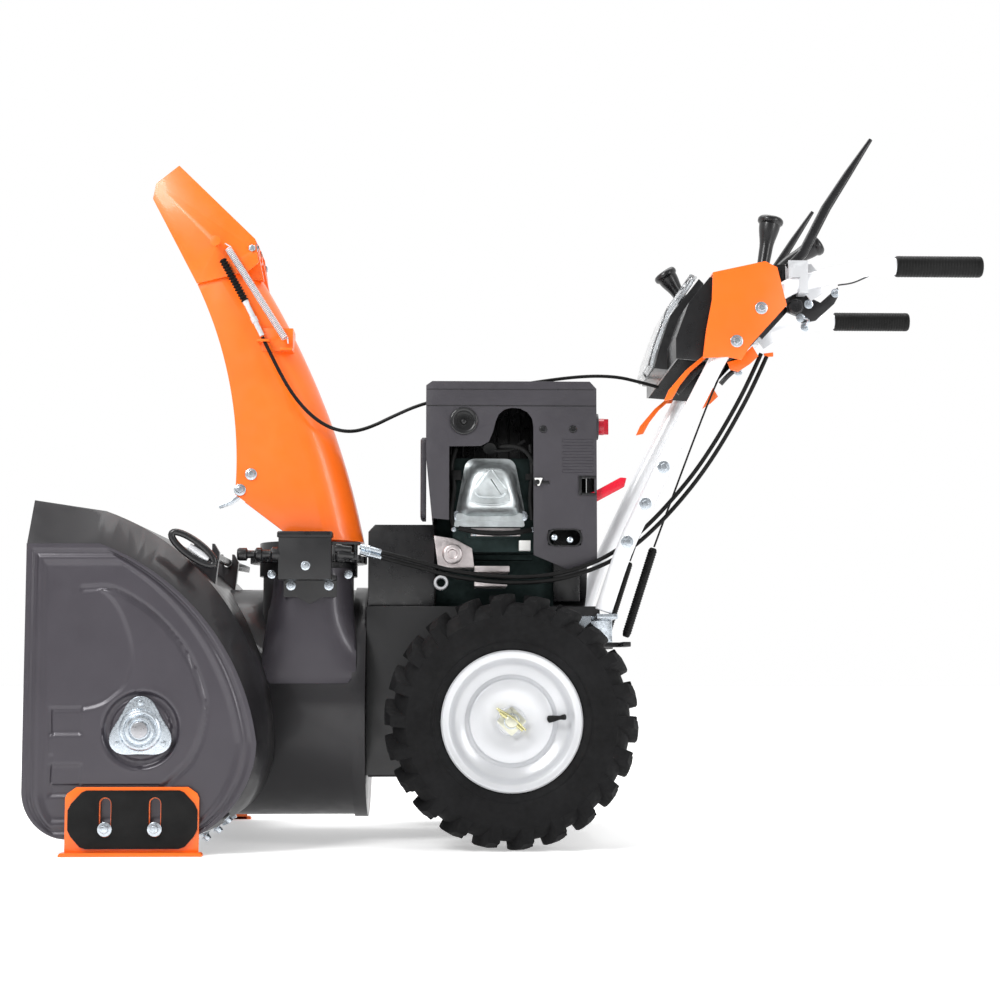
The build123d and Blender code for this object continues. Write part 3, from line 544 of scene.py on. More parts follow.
def pressing(x, z, left, right):
    """Depth of the plate's pressed shapes at a point, in mm inward."""
    depth = 0.0
    edge = min(x - left, right - x, PLATE_TOP - z, z - PLATE_FOOT)
    depth += 3.6 * smooth(edge, 8, 13) * (1 - smooth(edge, 15, 21))
    depth += 3.4 * smooth(edge, 24, 34)
    outer = at_height(CRESCENT[::-1], z) if z < 410 else -680
    inner = at_height(CRESCENT_IN, z) if z > 228 else -724
    if 108 < z < 412 and inner < x < outer:
        rim = min(to_curve(CRESCENT, x, z), to_curve(CRESCENT_IN, x, z))
        depth -= 3.2 * smooth(rim, 0, 8)
    else:
        depth += 1.8 * (1 - smooth(to_curve(CRESCENT, x, z), 0, 7))
    reach = math.hypot(x - AUGER_X, z - AUGER_Z)
    if reach < 72:
        target = 7.0 * (1 - smooth(reach, 55, 61)) * smooth(reach, 44, 48)
        depth = depth * smooth(reach, 60, 72) + target
    for low in (90, 184):
        high = low + (43 if low == 184 else 50)
        inside = min(x + 728, -677 - x, z - low, high - z)
        depth += 3.4 * smooth(inside, -1, 4)
    return depth


def add_side_plate(bm, side):
    rows, columns = 170, 130
    grid = []
    for r in range(rows + 1):
        z = PLATE_FOOT + (PLATE_TOP - PLATE_FOOT) * r / rows
        left = HOUSING_FRONT if z > 99 else -693.0 - math.sqrt(max(0.0, 75.0 ** 2 - (99.0 - z) ** 2))
        right = at_height(PLATE_BACK, z) if z < PLATE_TOP else -655.0
        line = []
        for c in range(columns + 1):
            x = left + (right - left) * c / columns
            line.append(bm.verts.new(p3(x, side * (PLATE_OUT - pressing(x, z, left, right)), z)))
        grid.append(line)
    for low, high in zip(grid, grid[1:]):
        for c in range(columns):
            bm.faces.new((low[c], low[c + 1], high[c + 1], high[c]))


def add_side_plates(bm):
    for side in SIDES:
        add_side_plate(bm, side)
    bmesh.ops.recalc_face_normals(bm, faces=bm.faces)
    bmesh.ops.solidify(bm, geom=bm.faces, thickness=0.0022)


new_piece("side_plate_pressings", add_side_plates, "housing_paint", "machine",
          ("side_plates",), sharp=50)


# ------------------------------------------------------------------ skids and their bolts

def add_skid_bolts(bm):
    for side in SIDES:
        for x in SKID_SLOTS:
            add_bolt(bm, p3(x, side * (PAD_OUT + 0.2), 41), (0, side, 0), 0.0062, 0.0055)


new_piece("skid_bolt_set", add_skid_bolts, "zinc", "machine", ("skid_bolts",), width=0.0003)


def slot_loop(x, low, high, half):
    """Outline of an upright slot in a side view, in mm."""
    ends = [(math.cos(math.pi * i / 8), math.sin(math.pi * i / 8)) for i in range(9)]
    top = [(x + half * a, high + half * b) for a, b in ends]
    return top + [(x - half * a, low - half * b) for a, b in ends]


def add_slotted(bm, outline, half, y0, y1):
    """A flat plate between two y planes, with the skid's two slots cut through it."""
    edges = []
    for loop in (outline, *(slot_loop(x, 38, 80, half) for x in SKID_SLOTS)):
        verts = [bm.verts.new(p3(x, y0, z)) for x, z in loop]
        edges += [bm.edges.new((verts[i - 1], verts[i])) for i in range(len(verts))]
    filled = bmesh.ops.triangle_fill(bm, use_beauty=True, use_dissolve=False, edges=edges)["geom"]
    faces = [item for item in filled if isinstance(item, bmesh.types.BMFace)]
    grown = bmesh.ops.extrude_face_region(bm, geom=faces, use_keep_orig=True)["geom"]
    verts = [item for item in grown if isinstance(item, bmesh.types.BMVert)]
    bmesh.ops.translate(bm, verts=verts, vec=(0, (y1 - y0) * MM, 0))


SHOE = [(-700, 0), (-700, 88), (-697, 95), (-683, 105), (-512, 105), (-498, 95), (-495, 88), (-495, 0)]
PAD = [(-667, 11), (-676, 14), (-690, 30), (-695, 40), (-695, 70), (-690, 80), (-674, 97), (-667, 100),
       (-525, 100), (-518, 97), (-502, 80), (-497, 70), (-497, 40), (-502, 30), (-516, 14), (-525, 11)]


def add_shoe(bm, side):
    add_slotted(bm, SHOE, 8, side * SHOE_IN, side * SHOE_OUT)
    foot = [(-707, 0), (-488, 0), (-488, 3), (-491, 6), (-704, 6), (-707, 3)]
    add_prism(bm, metres(foot), side * 0.358, side * 0.376)


for name, side in HANDS:
    new_piece("skid_shoe_" + name, lambda bm, side=side: add_shoe(bm, side), "orange_paint", "skid_" + name,
              ("skid_" + name,), width=0.0007)
    new_piece("skid_pad_" + name, lambda bm,
              side=side: add_slotted(bm, PAD, 9.5, side * SHOE_OUT, side * PAD_OUT),
              "rubber", "skid_" + name, ("skid_" + name,), width=0.0010)


def add_bearing(bm, side):
    """Three-lobed pressed flange with a raised seat, the bearing and the shaft's end."""
    matrix = axis_matrix(AUGER + Vector((0, side * 0.3555, 0)), (0, side, 0), (1, 0, 0))

    def lobes(scale, height):
        points = []
        for step in range(96):
            angle = 2 * math.pi * step / 96
            wave = 0.5 + 0.5 * math.cos(3 * (angle + side * math.pi / 2))
            reach = (0.0375 + 0.0145 * wave ** 1.15) * scale
            points.append(matrix @ Vector((reach * math.cos(angle), reach * math.sin(angle), height)))
        return points
    add_loft(bm, [lobes(1.0, 0), lobes(1.0, 0.0050), lobes(0.985, 0.0058), lobes(0.95, 0.0060)])
    add_lathe(bm, [(0.0330, 0.0058), (0.0315, 0.0085), (0.0285, 0.0104), (0.0255, 0.0104), (0.0240, 0.0085),
                   (0.0225, 0.0085), (0.0218, 0.0112), (0.0170, 0.0116), (0.0160, 0.0098), (0.0128, 0.0098),
                   (0.0124, 0.0130), (0.0115, 0.0137), (0, 0.0137)], matrix, 48)
    for degrees in (90, 210, 330):
        angle = math.radians(degrees)
        add_bolt(bm, AUGER + Vector((0.0415 * math.cos(angle), side * 0.3614, 0.0415 * math.sin(angle))),
                 (0, side, 0), 0.0042, 0.0036, washer=False)


new_piece("bearing_flanges", both(add_bearing), "zinc", "machine",
          ("auger_bearings",), width=0.0002)


def add_scraper_bolts(bm):
    """Nuts along the housing's lower rear lip."""
    for y in (-338, -200, -60, 60, 200, 338):
        add_bolt(bm, p3(-505, y, 22), (0.35, 0, -0.94), 0.0048, 0.008)
    for side in SIDES:
        for x, z in ((-488, 29), (-470, 41), (-455, 56)):
            add_bolt(bm, p3(x, side * 338, z), (0.72, 0, -0.69), 0.0045, 0.008)


new_piece("scraper_bolts", add_scraper_bolts, "zinc", "machine", width=0.0002)


# ------------------------------------------------------------------ wheels

def add_tyre(bm, side):
    middle = Vector((AXLE.x, side * WHEEL_Y, AXLE.z))
    matrix = axis_matrix(middle, (0, 1, 0))
    half = [(106, 34), (110, 43), (116, 47.5), (124, 51.5), (127, 51.0), (130, 53.5), (146, 56.0),
            (163, 55.0),
            (167, 55.6), (170, 53.5), (178, 46), (185, 37), (189, 24), (190, 0)]
    profile = [(r * MM, -y * MM) for r, y in half] + [(r * MM, y * MM) for r, y in half[-2::-1]]
    add_lathe(bm, profile, matrix, 96, closed=True)
    for hand in SIDES:
        for lug in range(LUGS):
            turn = 2 * math.pi * (lug + (0.5 if hand > 0 else 0.0)) / LUGS
            long = lug % 2 == 0
            stations = [(3, 188, 202.8, 0.036, 0.0), (18, 188, 203, 0.038, 0.018),
                        (33, 184, 202, 0.043, 0.06),
                        (45, 176, 199, 0.05, 0.105), (53, 167, 192, 0.052, 0.135),
                        (55, 160 if long else 167, 180 if long else 186, 0.047, 0.145)]
            sections = []
            for y, low, high, wide, lead in stations:
                centre = turn + lead * hand
                out = y + (2.8 if y > 50 else 0)
                corners = [(low, -1.18 * wide, y), (low, 1.18 * wide, y), (high - 1.5, 0.92 * wide, out),
                           (high, 0.78 * wide, out), (high, -0.78 * wide, out),
                           (high - 1.5, -0.92 * wide, out)]
                sections.append([matrix @ Vector((r * MM * math.cos(centre + a),
                                                  r * MM * math.sin(centre + a),
                                                  hand * o * MM)) for r, a, o in corners])
            add_loft(bm, sections)


new_piece("tread_tyres", both(add_tyre), "tyre_rubber", "wheels",
          ("tyres",), sharp=34)


def add_rim(bm, side):
    matrix = axis_matrix(Vector((AXLE.x, side * WHEEL_Y, AXLE.z)), (0, side, 0))
    face = [(22, 20), (30, 20.5), (36, 24), (62, 24.5), (66, 23), (69, 18), (74, 15.5), (88, 21), (92, 26),
            (94.5, 34), (97, 43), (100, 47), (106, 49.5), (110, 49.5), (112.5, 47), (111.5, 45)]
    back = [(105, 45), (101, 42), (98, 32), (97, 0), (98, -32), (101, -42), (105, -46), (111, -47),
            (112.5, -49),
            (110, -51), (104, -50.5), (99, -47), (95.5, -40), (94, 0), (91, 16), (72, 12), (64, 19),
            (60, 21.5),
            (37, 21), (30, 17.5), (22, 17)]
    add_lathe(bm, metres(face + back), matrix, 96, closed=True)
    add_lathe(bm, metres([(13, -30), (23, -30), (23, 22), (21, 24.5), (13, 25)]), matrix, 40, closed=True)


new_piece("rim_pressings", both(add_rim), "silver_paint", "wheels",
          ("rims",), sharp=30)


def add_hub(bm, side):
    plate = metres(rounded(17, 17, 3))
    matrix = axis_matrix(Vector((AXLE.x, side * WHEEL_Y, AXLE.z)), (0, side, 0), (1, 0, 1))
    add_loft(bm, [[matrix @ Vector((x, z, h * MM)) for x, z in plate] for h in (25.0, 30.0)])
    matrix = axis_matrix(Vector((AXLE.x, side * WHEEL_Y, AXLE.z)), (0, side, 0))
    add_lathe(bm, [(0, 0.029), (0.0118, 0.029), (0.0112, 0.036), (0.009, 0.0385), (0, 0.039)], matrix, 28)


new_piece("hub_plates", both(add_hub), "pale_zinc", "wheels",
          width=0.0006)


def add_hub_pins(bm):
    for side in SIDES:
        y = side * (WHEEL_Y + 0.0345)
        start, end = Vector((AXLE.x - 0.018, y, AXLE.z + 0.014)), Vector((AXLE.x + 0.018, y, AXLE.z - 0.014))
        add_tube(bm, [start, end], [0.0032, 0.0032], 16)
        add_tube(bm, along([start, start + Vector((-0.004, side * 0.006, 0.006)), (start + end) / 2
                            + Vector((0.004, side * 0.0085, 0.004)),
                            end + Vector((0.004, side * 0.003, 0))], 24),
                 [0.0013] * 25, 8)


new_piece("hub_pins", add_hub_pins, "yellow_zinc", "wheels")


def add_valves(bm):
    for side in SIDES:
        foot = Vector((AXLE.x + 0.060, side * (WHEEL_Y + 0.0240), AXLE.z + 0.003))
        end = foot + Vector((0.024, side * 0.018, 0.004))
        add_tube(bm, along([foot, (foot + end) / 2, end], 8),
                 [.0058, .0056, .0052, .0046, .004, .0034, .0034, .0044, .0044],
                 18)


new_piece("valve_stems", add_valves, "rubber", "wheels")


# ------------------------------------------------------------------ chute and deflector

def add_coil(bm, start, end, radius, wire, turns):
    """A closely wound spring whose wire runs in to the axis at each end."""
    matrix = axis_matrix(start, end - start)
    length = (end - start).length
    points = [matrix @ Vector((0, 0, 0))]
    steps = int(turns * 12)
    for i in range(steps + 1):
        angle = 2 * math.pi * i / 12
        reach = length * (0.05 + 0.9 * i / steps)
        points.append(matrix @ Vector((radius * math.cos(angle), radius * math.sin(angle), reach)))
    points.append(matrix @ Vector((0, 0, length)))
    add_tube(bm, points, [wire] * len(points), 8)


DEFLECTOR_END, CHUTE_END = p3(-485, -205, 990), p3(-379, -205, 822)
spring = new_piece("return_spring_coil", lambda bm: add_coil(bm, CHUTE_END, DEFLECTOR_END, 0.0050, 0.0011,
                                                             62),
                   "silver_paint", None, ("return_spring",))
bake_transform(spring)


def add_boot(bm):
    """Ribbed rubber bellows over the deflector's cable."""
    start, end = p3(-489, -204, 963), p3(-450, -204, 892)
    length = (end - start).length
    profile = [(0, 0)]
    for rib in range(15):
        at = length * rib / 15
        profile += [(0.0045, at), (0.0065, at + length * 0.022), (0.0065, at + length * 0.036),
                    (0.0045, at + length * 0.058)]
    add_lathe(bm, profile + [(0, length)], axis_matrix(start, end - start), 24)


boot = new_piece("cable_bellows", add_boot, "rubber", None, ("cable_boot",))
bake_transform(boot)


def add_ferrule(bm):
    start, end = p3(-450, -204, 892), p3(-422, -204, 835)
    length = (end - start).length
    add_lathe(bm, [(0, -0.002), (0.0052, -0.002), (0.0052, 0.004), (0.0044, 0.006), (0.0044, length * 0.45),
                   (0.0056, length * 0.46), (0.0056, length * 0.6), (0.0042, length * 0.62),
                   (0.0042, length), (0, length)], axis_matrix(start, end - start), 20)


ferrule = new_piece("cable_adjuster", add_ferrule, "silver_paint", None)
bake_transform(ferrule)


def add_chute_bolts(bm):
    for x, z in ((-439, 606), (-457, 580)):
        add_bolt(bm, p3(x, -191.2, z), (0, -1, 0), 0.0055, 0.0045)


new_piece("chute_bolts", add_chute_bolts, "zinc", "chute", width=0.0003)


def add_chute_tab(bm):
    outline = [(-463, 573), (-455, 574), (-461, 566), (-472, 558), (-492, 551), (-493, 554), (-474, 562)]
    add_prism(bm, metres(outline), -0.180, -0.160)


new_piece("chute_tab", add_chute_tab, "zinc", "chute", width=0.0004)


def add_deflector_bolts(bm):
    for y, hand in ((-193.6, -1), (-26.4, 1)):
        add_bolt(bm, p3(-441, y, 984), (0, hand, 0), 0.0058, 0.005)


new_piece("deflector_bolts", add_deflector_bolts, "zinc", "deflector", width=0.0003)


# ------------------------------------------------------------------ cables

UPPER_TURN = [(-250, -246, 482), (-206, -250, 470), (-156, -251, 457), (-108, -252, 444), (-56, -252, 436),
              (0, -252, 433), (54, -251, 437), (104, -246, 450), (145, -235, 468), (184, -227, 494),
              (222, -226, 528), (258, -224, 567), (292, -222, 608), (324, -222, 655), (354, -222, 705),
              (382, -222, 757), (404, -224, 806)]
LOWER_TURN = [(-250, -246, 473), (-206, -250, 461), (-156, -251, 448), (-108, -252, 435), (-56, -252, 427),
              (0, -252, 424), (56, -251, 428), (106, -246, 441), (150, -235, 459), (192, -227, 486),
              (231, -226, 521), (267, -224, 560), (301, -222, 602), (333, -222, 649), (363, -222, 700),
              (391, -222, 752), (413, -224, 801)]
TILT_CABLE = [(-421.5, -204, 833), (-397, -204, 782), (-371, -203, 737), (-341, -200, 703), (-310, -193, 683),
              (-277, -176, 678), (-245, -140, 691), (-206, -62, 722), (-163, 12, 752), (-100, 32, 770),
              (-24, 33, 784), (56, 31, 798), (132, 30, 807), (186, 30, 806), (226, 30, 797), (262, 30, 787)]
CLUTCH_CABLE = [(344, 786), (330, 755), (312, 712), (286, 645), (256, 566), (226, 486)]
SPARK_LEAD = [(-28, -205, 652), (0, -210, 654), (24, -210, 636), (34, -206, 608)]

cable("turning_cable_upper", [p3(*p) for p in UPPER_TURN], 0.0035, "rubber", "machine",
      ("turning_cables",))
cable("turning_cable_lower", [p3(*p) for p in LOWER_TURN], 0.0035, "rubber", "machine",
      ("turning_cables",))
cable("spark_lead_wire", [p3(*p) for p in SPARK_LEAD], 0.004, "rubber", "machine", ("spark_lead",))

route = cable("deflector_cable_route", [p3(*p) for p in TILT_CABLE], 0.003, "rubber", None)
tube = bpy.data.meshes.new_from_object(route.evaluated_get(bpy.context.evaluated_depsgraph_get()))
bpy.data.objects.remove(route)
tilt_cable = bpy.data.objects.new("deflector_cable_tube", tube)
bpy.context.scene.collection.objects.link(tilt_cable)
tube.shade_smooth()
finish_piece(tilt_cable, None, "rubber")
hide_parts("deflector_cable")
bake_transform(tilt_cable)

for name, side in HANDS:
    cable("clutch_cable_" + name, [p3(x, side * CLUTCH_Y, z) for x, z in CLUTCH_CABLE],
          0.0016, "rubber", "machine", ("clutch_cables",))


def add_spring_sleeves(bm):
    """Ribbed sleeves over the clutch springs."""
    for side in SIDES:
        start, end = p3(225, side * CLUTCH_Y, 484), p3(178, side * CLUTCH_Y, 338)
        length = (end - start).length
        profile = [(0, 0), (0.0045, 0), (0.0062, 0.002)]
        for rib in range(34):
            at = 0.004 + (length - 0.010) * rib / 34
            profile += [(0.0066, at), (0.0074, at + 0.0012), (0.0074, at + 0.0024), (0.0066, at + 0.0034)]
        profile += [(0.0062, length - 0.003), (0.0045, length), (0, length)]
        add_lathe(bm, profile, axis_matrix(start, end - start), 22)


new_piece("spring_sleeves", add_spring_sleeves, "rubber", "machine", ("clutch_springs",))


def add_cable_ends(bm):
    """Crimped ferrules and lock nuts where the turning cables leave their bracket."""
    for points in (UPPER_TURN, LOWER_TURN):
        start, end = p3(*points[0]), p3(*points[1])
        matrix = axis_matrix(start - (end - start).normalized() * 0.006, end - start)
        add_lathe(bm, [(0, 0), (0.0046, 0), (0.0046, 0.010), (0.0055, 0.011), (0.0055, 0.016),
                       (0.0046, 0.017),
                       (0.0046, 0.034), (0.0038, 0.036), (0, 0.036)], matrix, 6)


new_piece("cable_ferrules", add_cable_ends, "zinc", "machine", width=0.0003)


def add_turning_gear(bm):
    """The worm shaft's stub beyond the block, the block's lid, and the rubber cuffs."""
    add_lathe(bm, [(0, -0.002), (0.0120, -0.002), (0.0120, 0.010), (0.0075, 0.013), (0.0075, 0.026),
                   (0.0110, 0.028), (0.0110, 0.036), (0.0065, 0.039), (0.0065, 0.050), (0.0105, 0.052),
                   (0.0105, 0.064), (0.0085, 0.067), (0, 0.067)],
              axis_matrix(p3(-388, -235, 471), (-1, 0, 0)), 28)
    add_loft(bm, [[p3(-345.5 + a, -234 + b, z) for a, b in rounded(45 * grow, 14 * grow, 4)]
                  for z, grow in ((499, 1.0), (506, 1.0), (508, 0.96))])
    for z, x in ((481, -296), (471, -292)):
        add_lathe(bm, [(0, 0), (0.0080, 0), (0.0080, 0.008), (0.0062, 0.012), (0.0062, 0.026), (0, 0.026)],
                  axis_matrix(p3(x, -241, z), (1, 0, -0.1)), 20)


new_piece("turning_gear", add_turning_gear, "black_plastic", "machine", width=0.0004)


def add_bracket_bolts(bm):
    add_bolt(bm, p3(-344, -246.4, 452), (0, -1, 0), 0.0042, 0.0035)
    for x in (-371, -309):
        add_bolt(bm, p3(x, -196.4, 422), (0, -1, 0), 0.0044, 0.004)
    for x in (-404, -278):
        add_bolt(bm, p3(x, -182, 441), (0, -1, 0), 0.0040, 0.004)


new_piece("bracket_bolts", add_bracket_bolts, "zinc", "machine", width=0.0002)


# ------------------------------------------------------------------ engine

def add_valve_cover(bm):
    """Pressed rocker cover: flange, sloping dome and a raised cartouche with ridges."""
    def section(x0, x1, x2, x3, z0, z1, y, radius):
        corners = [(x0, z0), (x1, z0), (x2, z1), (x3, z1)]
        points = []
        count = 6
        for i, (cx, cz) in enumerate(corners):
            px, pz = corners[i - 1]
            nx, nz = corners[(i + 1) % 4]
            a = Vector((px - cx, pz - cz)).normalized() * radius
            b = Vector((nx - cx, nz - cz)).normalized() * radius
            for s in range(count + 1):
                t = s / count
                q = Vector((cx, cz)) + a * (1 - t) ** 2 + b * t ** 2
                points.append(p3(q.x, y, q.y))
        return points
    add_loft(bm, [section(-104, 13, 11, -102, 519, 531, -192.5, 4),
                  section(-104, 13, 11, -102, 519, 531, -203, 4)])
    add_loft(bm, [section(-100, 9, 9, -100, 529, 541, -192.5, 4),
                  section(-100, 9, 9, -100, 529, 541, -208, 4)])
    add_loft(bm, [section(-104, 16, -4, -84, 526, 632, -192, 16),
                  section(-104, 16, -4, -84, 526, 632, -200, 16),
                  section(-98, 10, -8, -80, 533, 625, -202, 18),
                  section(-95, 7, -11, -77, 538, 620, -212, 22),
                  section(-93, 5, -14, -74, 541, 617, -222, 24),
                  section(-89, 1, -18, -70, 545, 612, -230, 24),
                  section(-84, -4, -22, -66, 550, 606, -233.6, 22),
                  section(-78, -10, -27, -61, 555, 600, -235, 18),
                  section(-73, -15, -31, -57, 560, 595, -234.2, 14)])
    for low, high, z in ((-79, -9, 556), (-70, -18, 568)):
        add_tube(bm, along([p3(low, -232.4, z + 5), p3(-60, -234.6, z - 2), p3(-28, -234.6, z - 2),
                            p3(high, -232.4, z + 5)], 24), [0.0008] + [0.0021] * 23 + [0.0008], 12)
    for x0, z0, x1, z1 in ((-72, 576, -46, 610), (-16, 576, -42, 610)):
        add_tube(bm, along([p3(x0, -232.6, z0), p3((x0 + x1) / 2, -234.2, 592), p3(x1, -232.0, z1)], 12),
                 [0.0008] + [0.0022] * 11 + [0.0008], 12)


new_piece("rocker_cover", add_valve_cover, "cast_alloy", "machine", ("valve_cover",), sharp=55)


def add_engine_bolts(bm):
    for x, z in ((-98, 537), (10, 537)):
        add_bolt(bm, p3(x, -200.4, z), (0, -1, 0), 0.0048, 0.005)
    for x, z in ((-104, 515), (26, 515), (-70, 508), (-10, 508)):
        add_bolt(bm, p3(x, -193.2, z), (0, -1, 0), 0.0042, 0.004, washer=False)


new_piece("engine_bolts", add_engine_bolts, "zinc", "machine", width=0.0003)


def add_engine_pipes(bm):
    """Fuel and breather pipes, and clips in the hood's opening."""
    runs = [[(-101, -196, 650), (-108, -200, 620), (-104, -204, 585), (-108, -200, 548), (-104, -198, 520)],
            [(-60, -190, 655), (-40, -200, 646), (-10, -200, 648), (14, -196, 662)],
            [(-96, -206, 516), (-60, -210, 509), (-10, -210, 508), (24, -204, 514)],
            [(22, -200, 655), (25, -206, 610), (22, -206, 570), (25, -202, 530)]]
    for run in runs:
        points = along([p3(*p) for p in run], 30)
        add_tube(bm, points, [0.0042] * len(points), 14)
    add_tube(bm, [p3(-45, -190, 660), p3(-45, -206, 648)], [0.009, 0.011], 24)
    add_box(bm, p3(-106, -208, 596), p3(-92, -196, 612))
    add_box(bm, p3(14, -212, 596), p3(30, -200, 606))


new_piece("engine_pipes", add_engine_pipes, "rubber", "machine", width=0.0005)


def add_crankcase(bm):
    """Cast lower crankcase below the fins, its ledges and side boss."""
    for outline in ([(-137, 505), (-104, 500), (-74, 484), (-70, 452), (-130, 452)],
                    [(-76, 518), (6, 518), (6, 513), (-76, 513)],
                    [(-76, 508), (6, 508), (6, 504), (-76, 504)],
                    [(-70, 455), (-12, 455), (-12, 445), (-70, 445)],
                    [(-70, 431), (-16, 431), (-16, 421), (-70, 421)]):
        add_prism(bm, metres(outline), -0.196, -0.110)
    add_lathe(bm, [(0.017, 0), (0.017, 0.006), (0.014, 0.009), (0.008, 0.009), (0.007, 0.005), (0, 0.005)],
              axis_matrix(p3(-106, -196, 474), (0, -1, 0)), 32)


new_piece("crankcase_casting", add_crankcase, "pink_alloy", "machine", width=0.0018)


def add_hood_dressing(bm):
    """Louvres on the near side and the shallow box on the front."""
    for row in range(6):
        z = 606 + row * 10
        add_loft(bm, [[p3(x, -229.6, z), p3(x, -231.4, z + 1.2), p3(x, -231.4, z + 4.4),
                       p3(x, -229.6, z + 5.6)]
                      for x in (74, 76, 122, 124)])
    section = rounded(0.0405, 0.068, 0.012)
    add_loft(bm, [[Vector((-0.1505 - reach, -0.150 + a * grow, 0.6015 + b * grow)) for a, b in section]
                  for reach, grow in ((0.0, 1.0), (0.006, 1.0), (0.009, 0.95))])


new_piece("hood_dressing", add_hood_dressing, "hood_plastic", "machine", width=0.0004)


def add_hood_details(bm):
    """The dark parts: slot frame, lid seams, port ring, plugs, choke stem and lever surround."""
    add_loft(bm, [[Vector((x, -0.2300 - reach, z)) for x, z in
                   [(0.077 + a * grow, 0.4995 + b * grow) for a, b in rounded(0.029, 0.0145, 0.013)]]
                  for reach, grow in ((0.0, 1.0), (0.0018, 0.98), (0.0018, 0.88), (-0.004, 0.86))],
             caps=False)
    add_box(bm, p3(-149, -230.8, 715.6), p3(129, -229.6, 717.0))
    add_box(bm, p3(-149, -230.8, 743), p3(126, -229.6, 744))
    add_lathe(bm, [(0.0150, 0.0008), (0.0225, 0.0008), (0.0225, 0.0024), (0.0205, 0.0034), (0.0170, 0.0024),
                   (0.0165, -0.012), (0.0050, -0.0125), (0.0040, -0.007), (0.0, -0.006), (0.0, -0.014),
                   (0.0165, -0.014)], axis_matrix(p3(-88, -230, 691), (0, -1, 0)), 40)
    for x in (42, 91):
        add_lathe(bm, [(0, 0), (0.0062, 0), (0.0062, 0.0012), (0.0050, 0.0024), (0.0030, 0.0024),
                       (0.0024, 0.0010), (0, 0.0010)], axis_matrix(p3(x, -230, 678), (0, -1, 0)), 24)
    add_box(bm, p3(34, -231.6, 587.5), p3(52, -229.6, 592.5))
    add_lathe(bm, [(0, 0), (0.006, 0), (0.006, 0.005), (0.0045, 0.0065), (0, 0.007)],
              axis_matrix(p3(32, -230, 590), (0, -1, 0)), 24)
    add_box(bm, p3(103, -232.0, 569), p3(129.5, -222, 573))
    add_box(bm, p3(103, -232.0, 597), p3(129.5, -222, 601))
    add_box(bm, p3(100, -232.0, 569), p3(105, -222, 601))


new_piece("hood_fittings", add_hood_details, "black_plastic", "machine", width=0.0005)


def add_hood_screws(bm):
    for x, z in ((60, 500), (86, 496)):
        add_screw(bm, p3(x, -226.0, z), (0, -1, 0), 0.0056)


new_piece("hood_screws", add_hood_screws, "zinc", "machine")


def add_knob_bezel(bm):
    matrix = axis_matrix(p3(129.5, -150, 692), (1, 0, 0))
    add_lathe(bm, [(0.0160, 0), (0.0240, 0), (0.0240, 0.004), (0.0215, 0.0065), (0.0175, 0.0075),
                   (0.0160, 0.0065)],
              matrix, 40, closed=True)


new_piece("knob_bezel", add_knob_bezel, "black_plastic", "machine")


def add_drain_stub(bm):
    """Oil drain stub with its pale ring, low on the near side of the engine."""
    matrix = axis_matrix(p3(-125, -150, 428), (0, -1, 0))
    add_lathe(bm, [(0.0072, 0), (0.0122, 0), (0.0122, 0.032), (0.0112, 0.0345), (0.0082, 0.0345),
                   (0.0072, 0.032)],
              matrix, 36, closed=True)


new_piece("drain_stub", add_drain_stub, "silver_paint", "machine")


def add_air_guide(bm):
    """Moulded air guide behind the cylinder, ribbed, closing the hood's view through."""
    add_box(bm, p3(-140, -48, 575), p3(126, -44.5, 753))
    add_box(bm, p3(-139, -70, 392), p3(-130, 80, 600))
    add_box(bm, p3(66, -100, 400), p3(110, -96, 600))
    for x in range(-130, 115, 20):
        add_box(bm, p3(x, -54, 580), p3(x + 3, -47, 748))


new_piece("air_guide", add_air_guide, "black_plastic", "machine", width=0.0012)


def add_pale_tabs(bm):
    """Pale terminal block by the cylinder's foot and the choke's three-sided tab."""
    add_box(bm, p3(3, -214, 479), p3(22, -198, 496))
    add_prism(bm, metres([(27, 597), (41, 597), (36, 584), (32, 584)]), -0.2365, -0.2318)


new_piece("pale_tabs", add_pale_tabs, "white_plastic", "machine", width=0.0012)


def add_outlet_skirt(bm):
    """Pressed collar that flares from the outlet down on to the drum."""
    rows, columns = 30, 40
    grid = []
    for r in range(rows + 1):
        t = r / rows
        z = 452 - 190 * t
        half = 67 + 10 * smooth(t, 0.1, 0.8) - 14 * smooth(t, 0.88, 1.0) ** 2
        drum = -math.sqrt(194.0 ** 2 - (z - 230) ** 2) if z < 424 else 0.0
        corner = -151 - 39 * smooth(t, 0.3, 0.9)
        line = []
        for c in range(columns + 1):
            u = 2 * c / columns - 1
            middle = -191 - 3 * math.sin(math.pi * t)
            y = min(middle + (corner - middle) * u ** 4, drum)
            line.append(p3(-341 + half * u, y, z))
        line = [p3(-341 - half, -112, z)] + line + [p3(-341 + half, -112, z)]
        grid.append([bm.verts.new(point) for point in line])
    for low, high in zip(grid, grid[1:]):
        for c in range(columns + 2):
            bm.faces.new((low[c], low[c + 1], high[c + 1], high[c]))
    bmesh.ops.recalc_face_normals(bm, faces=bm.faces)


# The skirt keeps the lighter, lit copy of the housing's paint, while the drum under it takes the darker copy
# as painted shade, though both are one paint.
new_piece("outlet_skirt", add_outlet_skirt, "housing_paint", "machine", sharp=60)


# ------------------------------------------------------------------ controls

